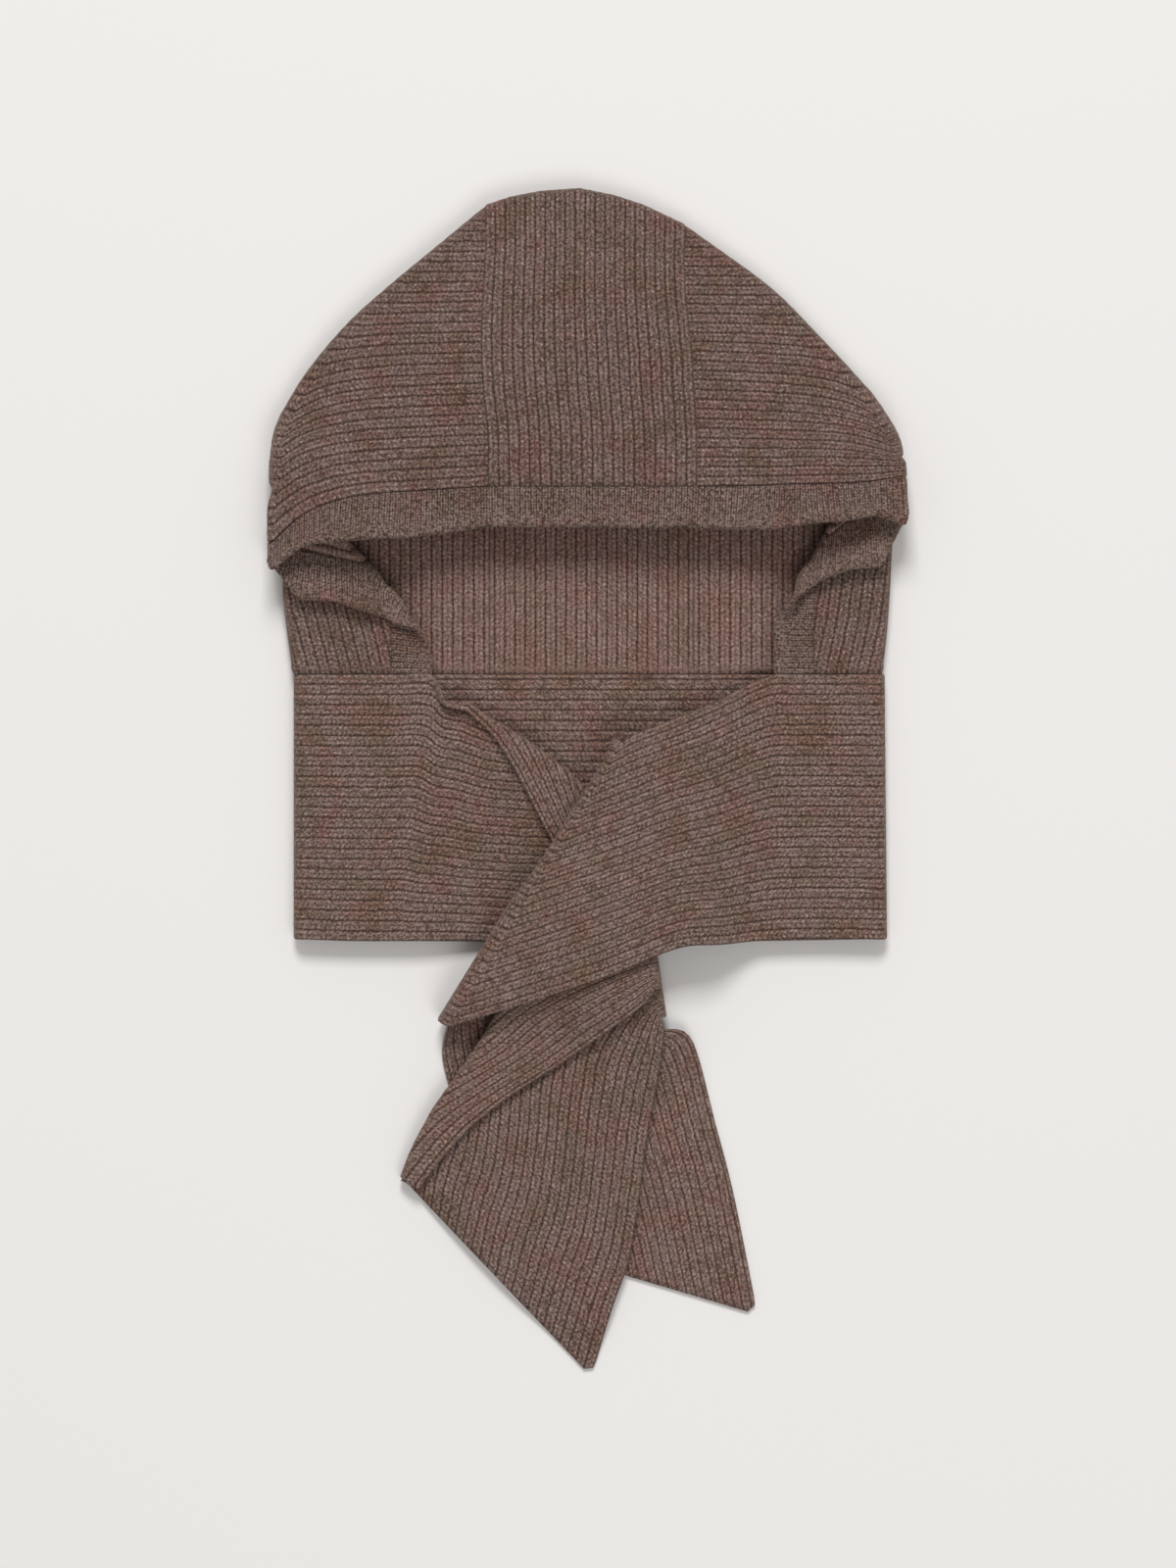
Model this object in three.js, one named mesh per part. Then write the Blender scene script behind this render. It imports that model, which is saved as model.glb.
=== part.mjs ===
// Snood hood in ribbed wool knit, laid flat on its back. Two side panels and a centre panel make the
// hood, a band edges the face opening, and one long strip makes the collar and its two tied tails.
// X runs across, Y runs from the tails to the crown and Z up from the surface that it lies on.
import * as THREE from 'three';

// Driving sizes, in millimetres
const KNIT = 3.0;            // thickness of the ribbed knit
const PLY_GAP = 0.8;         // air between plies that lie on each other
const SEAM_GAP = 0.35;       // clearance between two pieces along a seam
const COLLAR_WIDTH = 333;    // collar laid flat, side fold to side fold
const COLLAR_HEIGHT = 150;   // width of the strip, hem to neck seam
const HOOD_WIDTH = 361;      // hood laid flat, across the corners of the face opening
const HOOD_HEIGHT = 272;     // neck seam to the fold over the crown
const TAIL_LENGTH = 243;     // collar hem to the tip of the longer tail
const BAND_WIDTH = 23.5;     // face band, seam to free edge
const INNER_AIR = 7;         // air kept inside the hood and the collar
const CROWN_LOFT = 14;       // extra height of the crown over the air inside
const LOFT_REACH = 62;       // distance from the outline where the crown has its full height
const FOLD_DEPTH = 6;        // widest half round of a side fold, seen from above
const COVER_MARGIN = 4;      // a ply keeps its lift this far beyond the edge of the ply below
const COVER_BRIDGE = 3.5;    // and every further ply in the stack bridges that much more
const COVER_RAMP = 16;       // length over which the lowest ply then comes down
const KNOT_PUFF = 2;         // extra height of the ply over the knot
const CREASE_LIFT = 1;       // extra air in a lengthwise crease of the band or of the strip
const CORNER_LIFT = 1.5;     // extra air in the fold at the corners of the face opening
const KNOT_CORE = 42;        // radius round the knot where the plies are pressed together
const KNOT_REACH = 98;       // radius where the pressing ends
const KNOT_PRESS = 0.85;     // share of the inner air that the knot presses out
const EDGE_ROLL = 9;         // top edge of the strip that curls over where it isn't sewn

// What follows from them
const LAYER = KNIT + PLY_GAP;
const HALF_KNIT = KNIT / 2;
const CREASE_INSET = (LAYER + CREASE_LIFT) / 2 + HALF_KNIT;
const CORNER_INSET = (LAYER + CORNER_LIFT) / 2 + HALF_KNIT;
const WALL_INSET = FOLD_DEPTH + HALF_KNIT;

// Steps along and across the sheets
const ROW_STEPS = 2;
const FRONT_STEPS = 6;
const FOLD_STEPS = 3;
const LAPEL_SHARES = [0, 0.33, 1];    // from the corner to the roll
const LAPEL_STEPS = LAPEL_SHARES.length - 1;
const CHEEK_STEPS = 3;
const BACK_STEPS = 4;
const BAND_STEPS = 7;
const CENTRE_STEPS = 6;
const STRIP_STEPS = 8;
const FLAP_STEPS = 3;

// Every place in the tables is [across, up]. Across is a share of the half width. Up is 1 at the crown,
// 0 at the neck seam, -1 at the collar hem and -2 at the tip of the longer tail.
const CROWN_TOP = [
  [-0.338, 0.964], [-0.247, 0.984], [-0.155, 0.996], [-0.034, 1.002], [0.073, 0.988], [0.165, 0.968],
  [0.302, 0.925],
];

// Rib lines of the side panels, from the crown to the band: where each starts at the centre seam, turns
// over the outline, turns back at the pleat and at the cheek's side, and meets the seam at the back.
const LEFT_ROWS = [
  { at: 'crown corner', seam: [-0.323, 0.889], edge: [-0.326, 0.966], roll: [-0.302, 0.941],
    side: [-0.326, 0.966], back: [-0.32, 0.889] },
  { at: 'upper slope', seam: [-0.329, 0.818], edge: [-0.625, 0.804], roll: [-0.582, 0.792],
    side: [-0.625, 0.804], back: [-0.317, 0.788] },
  { at: 'middle slope', seam: [-0.335, 0.743], edge: [-0.771, 0.715], roll: [-0.729, 0.703],
    side: [-0.771, 0.715], back: [-0.314, 0.697] },
  { at: 'lower slope', seam: [-0.338, 0.667], edge: [-0.896, 0.613], roll: [-0.854, 0.605],
    side: [-0.896, 0.613], back: [-0.314, 0.602] },
  { at: 'shoulder', seam: [-0.332, 0.586], edge: [-0.976, 0.517], roll: [-0.93, 0.513],
    side: [-0.976, 0.517], back: [-0.314, 0.513] },
  { at: 'above corner', seam: [-0.32, 0.509], edge: [-0.997, 0.444], roll: [-0.948, 0.442],
    side: [-0.994, 0.444], back: [-0.314, 0.44] },
  { at: 'pleat point', seam: [-0.317, 0.469], edge: [-1.0, 0.4], roll: [-0.936, 0.396],
    side: [-0.988, 0.396], back: [-0.314, 0.384] },
  { at: 'pleat', seam: [-0.317, 0.424], edge: [-1.003, 0.335], roll: [-0.814, 0.319],
    side: [-0.966, 0.327], back: [-0.314, 0.311] },
  { at: 'band seam', seam: [-0.314, 0.384], edge: [-1.003, 0.271], roll: [-0.703, 0.238],
    side: [-0.96, 0.251], back: [-0.319, 0.238] },
];
const RIGHT_ROWS = [
  { at: 'crown corner', seam: [0.29, 0.857], edge: [0.293, 0.927], roll: [0.271, 0.909],
    side: [0.293, 0.927], back: [0.298, 0.857] },
  { at: 'upper slope', seam: [0.293, 0.792], edge: [0.552, 0.804], roll: [0.509, 0.792],
    side: [0.552, 0.804], back: [0.308, 0.788] },
  { at: 'middle slope', seam: [0.302, 0.727], edge: [0.704, 0.705], roll: [0.661, 0.693],
    side: [0.704, 0.705], back: [0.314, 0.691] },
  { at: 'lower slope', seam: [0.314, 0.655], edge: [0.857, 0.595], roll: [0.814, 0.587],
    side: [0.857, 0.595], back: [0.32, 0.586] },
  { at: 'shoulder', seam: [0.32, 0.582], edge: [0.927, 0.529], roll: [0.88, 0.525],
    side: [0.927, 0.529], back: [0.32, 0.52] },
  { at: 'above corner', seam: [0.326, 0.525], edge: [0.96, 0.489], roll: [0.912, 0.487],
    side: [0.958, 0.489], back: [0.32, 0.484] },
  { at: 'pleat point', seam: [0.329, 0.481], edge: [0.973, 0.457], roll: [0.912, 0.449],
    side: [0.96, 0.449], back: [0.32, 0.444] },
  { at: 'pleat', seam: [0.329, 0.432], edge: [0.979, 0.432], roll: [0.814, 0.38],
    side: [0.954, 0.384], back: [0.32, 0.37] },
  { at: 'band seam', seam: [0.329, 0.384], edge: [0.982, 0.406], roll: [0.723, 0.293],
    side: [0.945, 0.293], back: [0.32, 0.285] },
];
const LEFT_CHEEK = [
  { at: 'under lapel', sewn: [-0.699, 0.178], side: [-1.04, 0.17], back: [-0.339, 0.17] },
  { at: 'cheek', sewn: [-0.673, 0.101], side: [-1.028, 0.091], back: [-0.34, 0.091] },
  { at: 'neck', sewn: [-0.67, 0.0], side: [-1.008, 0.0], back: [-0.34, 0.0] },
];
const RIGHT_CHEEK = [
  { at: 'under lapel', sewn: [0.747, 0.202], side: [1.007, 0.182], back: [0.344, 0.182] },
  { at: 'cheek', sewn: [0.752, 0.101], side: [1.005, 0.091], back: [0.347, 0.091] },
  { at: 'neck', sewn: [0.752, 0.0], side: [0.988, 0.0], back: [0.347, 0.0] },
];

// The band, by its place along the seam: 0 to 1 over the crown, 1 to 2 in the lapel, 2 to 5 down the
// cheek. Roll and free are the reach from the seam to the fold and to the free edge, in band widths.
// Turned is 1 where it is folded over, 0.5 where its free edge stands and 0 where it lies flat.
const BAND_CORNER = 1;
const BAND_ROLL = 2;
const LEFT_BAND = [
  { along: 0, roll: [0, 0], free: [0.02, -0.98], turned: 0 },
  { along: 0.36, roll: [0, 0], free: [-0.05, -1.12], turned: 0 },
  { along: 0.67, roll: [0, 0], free: [-0.05, -1.05], turned: 0 },
  { along: 0.88, roll: [0, 0], free: [0.03, -0.78], turned: 0 },
  { along: 1, roll: [0, 0], free: [0.02, -0.75], turned: 0 },
  { along: 1.33, roll: [0, 0], free: [-0.12, -1.2], turned: 0 },
  { along: 1.67, roll: [0, 0], free: [0.03, -1.1], turned: 0 },
  { along: 2, roll: [0, 0], free: [0, -1.15], turned: 1 },
  { along: 2.5, roll: [0.06, -0.05], free: [0.05, -0.98], turned: 1 },
  { along: 3, roll: [0.22, -0.18], free: [0.14, -0.76], turned: 1 },
  { along: 3.5, roll: [0.33, -0.12], free: [0.22, -0.5], turned: 1 },
  { along: 4, roll: [0.66, -0.1], free: [0.76, -0.2], turned: 0.5 },
  { along: 4.5, roll: [0.96, -0.1], free: [0.96, -0.1], turned: 0 },
  { along: 5, roll: [0.98, 0], free: [0.98, 0], turned: 0 },
];
const RIGHT_BAND = [
  { along: 0, roll: [0, 0], free: [-0.05, -1.0], turned: 0 },
  { along: 0.36, roll: [0, 0], free: [-0.1, -1.07], turned: 0 },
  { along: 0.67, roll: [0, 0], free: [0.1, -0.9], turned: 0 },
  { along: 0.88, roll: [0, 0], free: [0.02, -0.9], turned: 0 },
  { along: 1, roll: [0, 0], free: [0.05, -1.32], turned: 0 },
  { along: 1.33, roll: [0, 0], free: [0.1, -1.7], turned: 0 },
  { along: 1.67, roll: [0, 0], free: [-0.08, -1.3], turned: 0 },
  { along: 2, roll: [0, 0], free: [-0.05, -1.02], turned: 1 },
  { along: 2.5, roll: [-0.12, -0.02], free: [-0.16, -0.68], turned: 1 },
  { along: 3, roll: [-0.34, 0.01], free: [-0.34, -0.42], turned: 1 },
  { along: 3.5, roll: [-0.52, 0.0], free: [-0.7, 0.0], turned: 0.5 },
  { along: 4, roll: [-0.95, 0.02], free: [-0.95, 0.02], turned: 0 },
  { along: 5, roll: [-0.95, 0], free: [-0.95, 0], turned: 0 },
];

// The strip, from the end of the left tail to the end of the right one. The left tail is folded
// lengthwise: hem and top are its two edges and fold is the crease between them.
const LEFT_TAIL = [
  { at: 'cut end', hem: [-0.583, -1.578], fold: [-0.643, -1.55], top: [0.003, -2.005] },
  { at: 'tip ply', hem: [-0.52, -1.518], fold: [-0.6, -1.472], top: [0.076, -1.842] },
  { at: 'lower fan', hem: [-0.405, -1.43], fold: [-0.54, -1.39], top: [0.129, -1.738] },
  { at: 'middle fan', hem: [-0.271, -1.357], fold: [-0.47, -1.32], top: [0.162, -1.602] },
  { at: 'upper fan', hem: [-0.092, -1.278], fold: [-0.38, -1.231], top: [0.193, -1.443] },
  { at: 'gathers', hem: [0.056, -1.206], fold: [-0.261, -1.127], top: [0.227, -1.319] },
  { at: 'below the wrap', hem: [0.168, -1.149], fold: [-0.036, -1.045], top: [0.246, -1.215] },
  { at: 'wrap', hem: [0.218, -1.109], fold: [0.206, -1.018], top: [0.236, -1.174] },
];
const LEFT_FRONT = [
  { at: 'wrap', hem: [0.218, -1.109], fold: [0.206, -1.018], top: [0.236, -1.174] },
  { at: 'behind the knot', hem: [0.046, -1.066], fold: [0.145, -0.73], top: [0.089, -1.059] },
  { at: 'under the edge', hem: [-0.185, -1.014], fold: [-0.023, -0.412], top: [-0.129, -0.628] },
  { at: 'wide roll', hem: [-0.333, -1.002], fold: [-0.168, -0.274], top: [-0.248, -0.372] },
  { at: 'narrow roll', hem: [-0.449, -0.996], fold: [-0.294, -0.186], top: [-0.327, -0.234] },
  { at: 'first roll', hem: [-0.531, -0.998], fold: [-0.406, -0.109], top: [-0.419, -0.139] },
];
const LEFT_COLLAR = [
  { at: 'standing edge', hem: [-0.6, -0.998], top: [-0.48, -0.05] },
  { at: 'open edge', hem: [-0.663, -0.998], top: [-0.531, 0.0] },
  { at: 'front', hem: [-0.795, -0.998], top: [-0.762, 0.0] },
  { at: 'side', hem: [-0.96, -0.992], top: [-0.96, 0.0] },
];
const BACK_COLLAR = [
  { at: 'left', hem: [-0.96, -0.992], top: [-0.96, 0.0] },
  { at: 'left back', hem: [-0.5, -1.0], top: [-0.5, 0.0] },
  { at: 'middle', hem: [0.0, -1.0], top: [0.0, 0.0] },
  { at: 'right back', hem: [0.5, -1.0], top: [0.5, 0.0] },
  { at: 'right', hem: [0.96, -0.992], top: [0.952, 0.0] },
];
const RIGHT_COLLAR = [
  { at: 'side', hem: [0.96, -0.992], top: [0.952, 0.0] },
  { at: 'front', hem: [0.789, -0.988], top: [0.809, 0.0] },
  { at: 'open edge', hem: [0.624, -0.992], top: [0.618, 0.0] },
  { at: 'front slope', hem: [0.442, -1.006], top: [0.406, -0.109] },
  { at: 'over the wrap', hem: [0.294, -1.014], top: [0.248, -0.182] },
  { at: 'knot', hem: [0.063, -1.077], top: [0.175, -0.212] },
  { at: 'knot end', hem: [-0.201, -1.138], top: [0.142, -0.23] },
  { at: 'fold', hem: [-0.482, -1.195], top: [0.109, -0.255] },
];
const RIGHT_TAIL = [
  { at: 'fold', hem: [-0.482, -1.195], top: [0.109, -0.255] },
  { at: 'inside', hem: [-0.5, -1.258], top: [0.168, -0.584] },
  { at: 'waist', hem: [-0.482, -1.321], top: [0.201, -0.985] },
  { at: 'waist end', hem: [-0.442, -1.398], top: [0.201, -1.163] },
  { at: 'flare', hem: [-0.406, -1.455], top: [0.241, -1.199] },
  { at: 'shoulder', hem: [-0.38, -1.511], top: [0.34, -1.224] },
  { at: 'upper', hem: [-0.347, -1.568], top: [0.421, -1.419] },
  { at: 'lower', hem: [-0.307, -1.624], top: [0.485, -1.59] },
  { at: 'cut end', hem: [-0.264, -1.694], top: [0.564, -1.862] },
];
const KNOT_CENTRE = [-0.036, -0.876];

const { lerp, smoothstep } = THREE.MathUtils;

// Place of [across, up] in millimetres: the half width grows from the collar's to the hood's
const COLLAR_TOP_SHARE = 0.16;
const HOOD_FULL_SHARE = 0.27;
function place([across, up]) {
  const width = lerp(COLLAR_WIDTH, HOOD_WIDTH, smoothstep(up, COLLAR_TOP_SHARE, HOOD_FULL_SHARE));
  const tail = Math.min(up + 1, 0) * TAIL_LENGTH;
  const collar = Math.max(Math.min(up, 0), -1) * COLLAR_HEIGHT;
  return [across * width / 2, Math.max(up, 0) * HOOD_HEIGHT + collar + tail];
}

// Point at a fractional index of a list of places, on a Catmull-Rom curve through them
function along(points, index) {
  const last = points.length - 1;
  const i = Math.min(Math.floor(index), last - 1);
  const f = index - i;
  const p = (k) => points[Math.max(0, Math.min(last, k))];
  const tangent = (k) => {
    const span = Math.min(last, k + 1) - Math.max(0, k - 1);
    return p(k + 1).map((v, axis) => (v - p(k - 1)[axis]) / span);
  };
  const [a, b, ta, tb] = [p(i), p(i + 1), tangent(i), tangent(i + 1)];
  const [f2, f3] = [f * f, f * f * f];
  return a.map((v, axis) => v * (2 * f3 - 3 * f2 + 1) + ta[axis] * (f3 - 2 * f2 + f)
    + b[axis] * (3 * f2 - 2 * f3) + tb[axis] * (f3 - f2));
}

const mix = (a, b, f) => a.map((v, axis) => lerp(v, b[axis], f));
const move = (a, direction, length) => [a[0] + direction[0] * length, a[1] + direction[1] * length];
const unit = (v) => v.map((c) => c / Math.hypot(...v));
const column = (rows, name) => rows.map((row) => place(row[name]));

// Direction square to a curve of places at an index, on the side away from a given place
function away(points, index, from) {
  const small = 0.05;
  const last = points.length - 1;
  const a = along(points, Math.max(0, index - small));
  const b = along(points, Math.min(last, index + small));
  const square = unit([b[1] - a[1], a[0] - b[0]]);
  const here = along(points, index);
  const side = square[0] * (here[0] - from[0]) + square[1] * (here[1] - from[1]);
  return side < 0 ? square.map((v) => -v) : square;
}

// Half turn from point a to point b about their middle, pushed outwards by its half round
function turn(a, b, outward, angle, deepest = FOLD_DEPTH) {
  const half = a.map((v, axis) => (v - b[axis]) / 2);
  const depth = Math.min(Math.hypot(...half), deepest) * Math.sin(angle);
  return a.map((v, axis) => v - half[axis] + half[axis] * Math.cos(angle)
    + (outward[axis] ?? 0) * depth);
}

// Distance from a place to a closed outline, positive outside it
function distanceOutside(outline, x, y) {
  let nearest = Infinity;
  let inside = false;
  outline.forEach(([ax, ay], i) => {
    const [bx, by] = outline[(i + 1) % outline.length];
    const [dx, dy] = [bx - ax, by - ay];
    const f = THREE.MathUtils.clamp(((x - ax) * dx + (y - ay) * dy) / (dx * dx + dy * dy), 0, 1);
    nearest = Math.min(nearest, Math.hypot(x - ax - f * dx, y - ay - f * dy));
    if (ay > y !== by > y && x < ax + (y - ay) * dx / dy) inside = !inside;
  });
  return inside ? -nearest : nearest;
}

// Outlines of the plies, from the same tables as the pieces
const backwards = (points) => [...points].reverse();
const between = (rows, one, other) => [...column(rows, one), ...backwards(column(rows, other))];
const pleatRows = (rows) => rows.slice(rows.findIndex((row) => row.at === 'pleat point'));

// Seam of the band in the lapel and down the cheek, as places at 1, 2, 3, 4 and 5 along it
function bandSeam(rows, cheek) {
  const last = rows[rows.length - 1];
  return [place(last.edge), place(last.roll), ...column(cheek, 'sewn')];
}

// Places of the band's fold or free edge from the corner to where it is rolled out flat
function bandLine(band, seam, key) {
  const lapel = band.filter(({ along: at, turned }) => at >= BAND_CORNER && (at < BAND_ROLL || turned === 1));
  return lapel.map((row) => {
    const start = along(seam, row.along - BAND_CORNER);
    return [start[0] + row[key][0] * BAND_WIDTH, start[1] + row[key][1] * BAND_WIDTH];
  });
}

function lapelOutline(rows, cheek, band) {
  const seam = bandSeam(rows, cheek);
  return [...column(pleatRows(rows), 'edge'), ...bandLine(band, seam, 'free'),
    ...backwards(bandLine(band, seam, 'roll')), ...backwards(column(pleatRows(rows), 'roll'))];
}

function cheekOutline(rows, cheek, band) {
  const seam = bandSeam(rows, cheek);
  return [...column(pleatRows(rows), 'side'), ...column(cheek, 'side'),
    move(place(cheek[cheek.length - 1].sewn), band[band.length - 1].free, BAND_WIDTH),
    ...backwards(bandLine(band, seam, 'roll')), ...backwards(column(pleatRows(rows), 'roll'))];
}

const silhouette = [
  place([-1, -1]), ...backwards(column(LEFT_CHEEK, 'side')), ...backwards(column(LEFT_ROWS, 'edge')),
  ...CROWN_TOP.map(place), ...column(RIGHT_ROWS, 'edge'), ...column(RIGHT_CHEEK, 'side'),
  place([1, -1]),
];

const backPly = { name: 'back', outlines: [silhouette] };
const HOOD_PLIES = [
  backPly,
  { name: 'cheek', outlines: [cheekOutline(LEFT_ROWS, LEFT_CHEEK, LEFT_BAND),
    cheekOutline(RIGHT_ROWS, RIGHT_CHEEK, RIGHT_BAND)] },
  { name: 'lapel', lift: CREASE_LIFT, outlines: [lapelOutline(LEFT_ROWS, LEFT_CHEEK, LEFT_BAND),
    lapelOutline(RIGHT_ROWS, RIGHT_CHEEK, RIGHT_BAND)] },
  { name: 'crown', lift: CREASE_LIFT + CORNER_LIFT, outlines: [], loft: CROWN_LOFT },
];
const STRIP_PLIES = [
  backPly,
  { name: 'left front', outlines: [between(LEFT_FRONT, 'hem', 'fold')] },
  { name: 'left roll', lift: CREASE_LIFT, outlines: [between(LEFT_FRONT, 'top', 'fold')] },
  { name: 'right under', lift: CREASE_LIFT, outlines: [between(RIGHT_TAIL, 'hem', 'top')] },
  { name: 'left inner', lift: CREASE_LIFT, outlines: [between(LEFT_TAIL, 'top', 'fold')] },
  { name: 'left outer', lift: 2 * CREASE_LIFT, outlines: [between(LEFT_TAIL, 'hem', 'fold')] },
  { name: 'right over', lift: 2 * CREASE_LIFT, outlines: [], puff: KNOT_PUFF },
];

// Share of its full lift that a ply gives to the ply at a level of the stack
function cover(ply, level, x, y) {
  const outside = Math.min(...ply.outlines.map((outline) => distanceOutside(outline, x, y)));
  const margin = COVER_MARGIN + COVER_BRIDGE * level;
  return 1 - smoothstep(outside, margin, margin + COVER_RAMP + COVER_BRIDGE * level);
}

// How near the knot a place is, from 0 to 1
function knotShare(x, y) {
  const [kx, ky] = place(KNOT_CENTRE);
  return 1 - smoothstep(Math.hypot(x - kx, y - ky), KNOT_CORE, KNOT_REACH);
}

// Point of a ply's middle surface over a place: the plies below it, the air inside and its own loft
function onPly(plies, name, [x, y]) {
  const level = plies.findIndex((ply) => ply.name === name);
  if (level === 0) return [x, y, HALF_KNIT];
  const { lift = 0, loft = 0, puff = 0 } = plies[level];
  const covers = plies.slice(0, level).map((ply) => cover(ply, level, x, y));
  const stacked = covers.slice(1).reduce((most, share) => Math.max(most, share), 0);
  const below = covers.reduce((sum, share) => sum + share, 0);
  const inset = -distanceOutside(silhouette, x, y);
  const air = INNER_AIR * covers[0] * (1 - KNOT_PRESS * knotShare(x, y));
  const bulge = loft * smoothstep(inset, 0, LOFT_REACH) + puff * knotShare(x, y);
  return [x, y, HALF_KNIT + LAYER * below + lift * stacked + air + bulge];
}
const onHood = (name, where) => onPly(HOOD_PLIES, name, where);
const onStrip = (name, where) => onPly(STRIP_PLIES, name, where);

// Sheet given as rows of points, with the direction square to it and the way inwards at each point.
// A missing point (null) leaves its cells out.
function sheetOf(rows) {
  const count = rows[0].length;
  const points = rows.flat().map((p) => p && new THREE.Vector3(...p));
  const normals = points.map(() => new THREE.Vector3());
  const inwards = points.map(() => new THREE.Vector3());
  const cells = [];
  for (let i = 1; i < rows.length; i += 1) {
    for (let j = 1; j < count; j += 1) {
      const k = i * count + j;
      const corners = [k - count - 1, k - 1, k, k - count];
      if (!corners.every((c) => points[c])) continue;
      const [a, b, c, d] = corners.map((corner) => points[corner]);
      const normal = c.clone().sub(a).cross(d.clone().sub(b)).normalize();
      const middle = a.clone().add(b).add(c).add(d).divideScalar(corners.length);
      corners.forEach((corner) => {
        normals[corner].add(normal);
        inwards[corner].add(middle.clone().sub(points[corner]));
      });
      cells.push(corners);
    }
  }
  return { points, normals, inwards, cells };
}

// Gives the sheets that meet in a point the same direction there, level along the neck seam
function joinSheets(sheets) {
  const keyOf = (point) => point.toArray().map((v) => Math.round(v * 1000)).join();
  const joined = new Map();
  for (const { points, normals } of sheets) {
    points.forEach((point, k) => {
      if (!point) return;
      const key = keyOf(point);
      const sum = joined.get(key) ?? new THREE.Vector3();
      joined.set(key, sum.addScaledVector(normals[k], sum.dot(normals[k]) < 0 ? -1 : 1));
    });
  }
  for (const { points, normals } of sheets) {
    points.forEach((point, k) => {
      if (!point) return;
      const sum = joined.get(keyOf(point));
      const facing = sum.dot(normals[k]) < 0 ? -1 : 1;
      normals[k].copy(sum).multiplyScalar(facing);
      if (Math.abs(point.y) < SEAM_GAP / 10) normals[k].y = 0;
    });
  }
}

// Closed solid round a sheet, its edges drawn in by half the clearance of a seam
function thicken({ points, normals, inwards, cells }, thickness) {
  const next = new Map();
  const previous = new Map();
  const sides = cells.flatMap((cell) => cell.map((a, k) => [a, cell[(k + 1) % cell.length]]));
  const known = new Set(sides.map(String));
  const rim = sides.filter(([a, b]) => !known.has(`${b},${a}`));
  rim.forEach(([a, b]) => {
    next.set(a, b);
    previous.set(b, a);
  });
  const positions = [];
  const slots = new Map();
  points.forEach((point, k) => {
    if (!point) return;
    const normal = normals[k].clone().normalize();
    const middle = point.clone();
    if (next.has(k)) {
      const tangent = points[next.get(k)].clone().sub(points[previous.get(k)]).normalize();
      const way = inwards[k].clone().projectOnPlane(tangent).projectOnPlane(normal);
      middle.add(way.setLength(SEAM_GAP / 2));
    }
    slots.set(k, positions.length / 3);
    positions.push(...middle.clone().addScaledVector(normal, thickness / 2).toArray(),
      ...middle.clone().addScaledVector(normal, -thickness / 2).toArray());
  });
  const over = (k) => slots.get(k);
  const under = (k) => slots.get(k) + 1;
  const indices = [];
  for (const [a, b, c, d] of cells) {
    indices.push(over(a), over(b), over(c), over(a), over(c), over(d));
    indices.push(under(a), under(c), under(b), under(a), under(d), under(c));
  }
  rim.forEach(([a, b]) => indices.push(over(a), under(a), under(b), over(a), under(b), over(b)));
  const geometry = new THREE.BufferGeometry();
  geometry.setAttribute('position', new THREE.Float32BufferAttribute(positions, 3));
  geometry.setIndex(indices);
  geometry.computeVertexNormals();
  return geometry;
}

// Ribs start level at the centre seam and bend towards the outline
const BEND_SHARE = 0.25;
const BEND_POWER = 6;
const bend = (f) => BEND_SHARE * f + (1 - BEND_SHARE) * f ** BEND_POWER;

// Column numbers of a side panel: crown, fold, lapel, roll, cheek, side fold and back
const COL_EDGE = FRONT_STEPS;
const COL_LAPEL = COL_EDGE + FOLD_STEPS;
const COL_ROLL = COL_LAPEL + LAPEL_STEPS;
const COL_CHEEK = COL_ROLL + FOLD_STEPS;
const COL_SIDE = COL_CHEEK + CHEEK_STEPS;
const COL_BACK = COL_SIDE + FOLD_STEPS;
const COL_END = COL_BACK + BACK_STEPS;
const WALL_STEPS = COL_BACK - COL_EDGE;

// Half a turn's points between two plies over one place, from step 0 to FOLD_STEPS
const hoodTurn = (from, to, where, outward, f) => turn(onHood(from, where), onHood(to, where), outward,
  Math.PI * f);

const BAND_ROW = (LEFT_ROWS.length - 1) * ROW_STEPS;
const FACE_MIDDLE = place([0, 0.3]);

// Lines of a side panel at a place down its rows, with the directions in which its folds point
function panelLines(rows, inward, u) {
  const line = (name) => along(column(rows, name), u);
  const pleat = pleatRows(rows);
  const down = Math.max(0, u - (rows.length - pleat.length));
  const outEdge = unit(mix([0, 1], away(column(rows, 'edge'), u, FACE_MIDDLE), smoothstep(u, 0, 1)));
  const outRoll = away(column(pleat, 'roll'), down, line('side'));
  const outSide = [-inward, 0];
  return {
    outEdge, outRoll, outSide, seam: line('seam'), back: line('back'),
    wall: move(line('edge'), outEdge, -WALL_INSET), edge: move(line('edge'), outEdge, -CORNER_INSET),
    roll: move(line('roll'), outRoll, -CREASE_INSET), side: move(line('side'), outSide, -WALL_INSET),
  };
}

// Point of the pleated mouth corner in a column between the crown's edge and the side fold
function pleatPoint(j, { edge, roll, side, outEdge, outRoll, outSide }) {
  const f = (from, steps) => (j - from) / steps;
  if (j <= COL_LAPEL) return hoodTurn('crown', 'lapel', edge, outEdge, f(COL_EDGE, FOLD_STEPS));
  if (j <= COL_ROLL) return onHood('lapel', mix(edge, roll, LAPEL_SHARES[j - COL_LAPEL]));
  if (j <= COL_CHEEK) return hoodTurn('lapel', 'cheek', roll, outRoll, f(COL_ROLL, FOLD_STEPS));
  if (j <= COL_SIDE) return onHood('cheek', mix(roll, side, f(COL_CHEEK, CHEEK_STEPS)));
  return hoodTurn('cheek', 'back', side, outSide, f(COL_SIDE, FOLD_STEPS));
}

// Columns across the back, from the side fold to the seam
const backColumns = (fold, end) => Array.from({ length: BACK_STEPS },
  (_, k) => onHood('back', mix(fold.slice(0, 2), end, (k + 1) / BACK_STEPS)));

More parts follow.
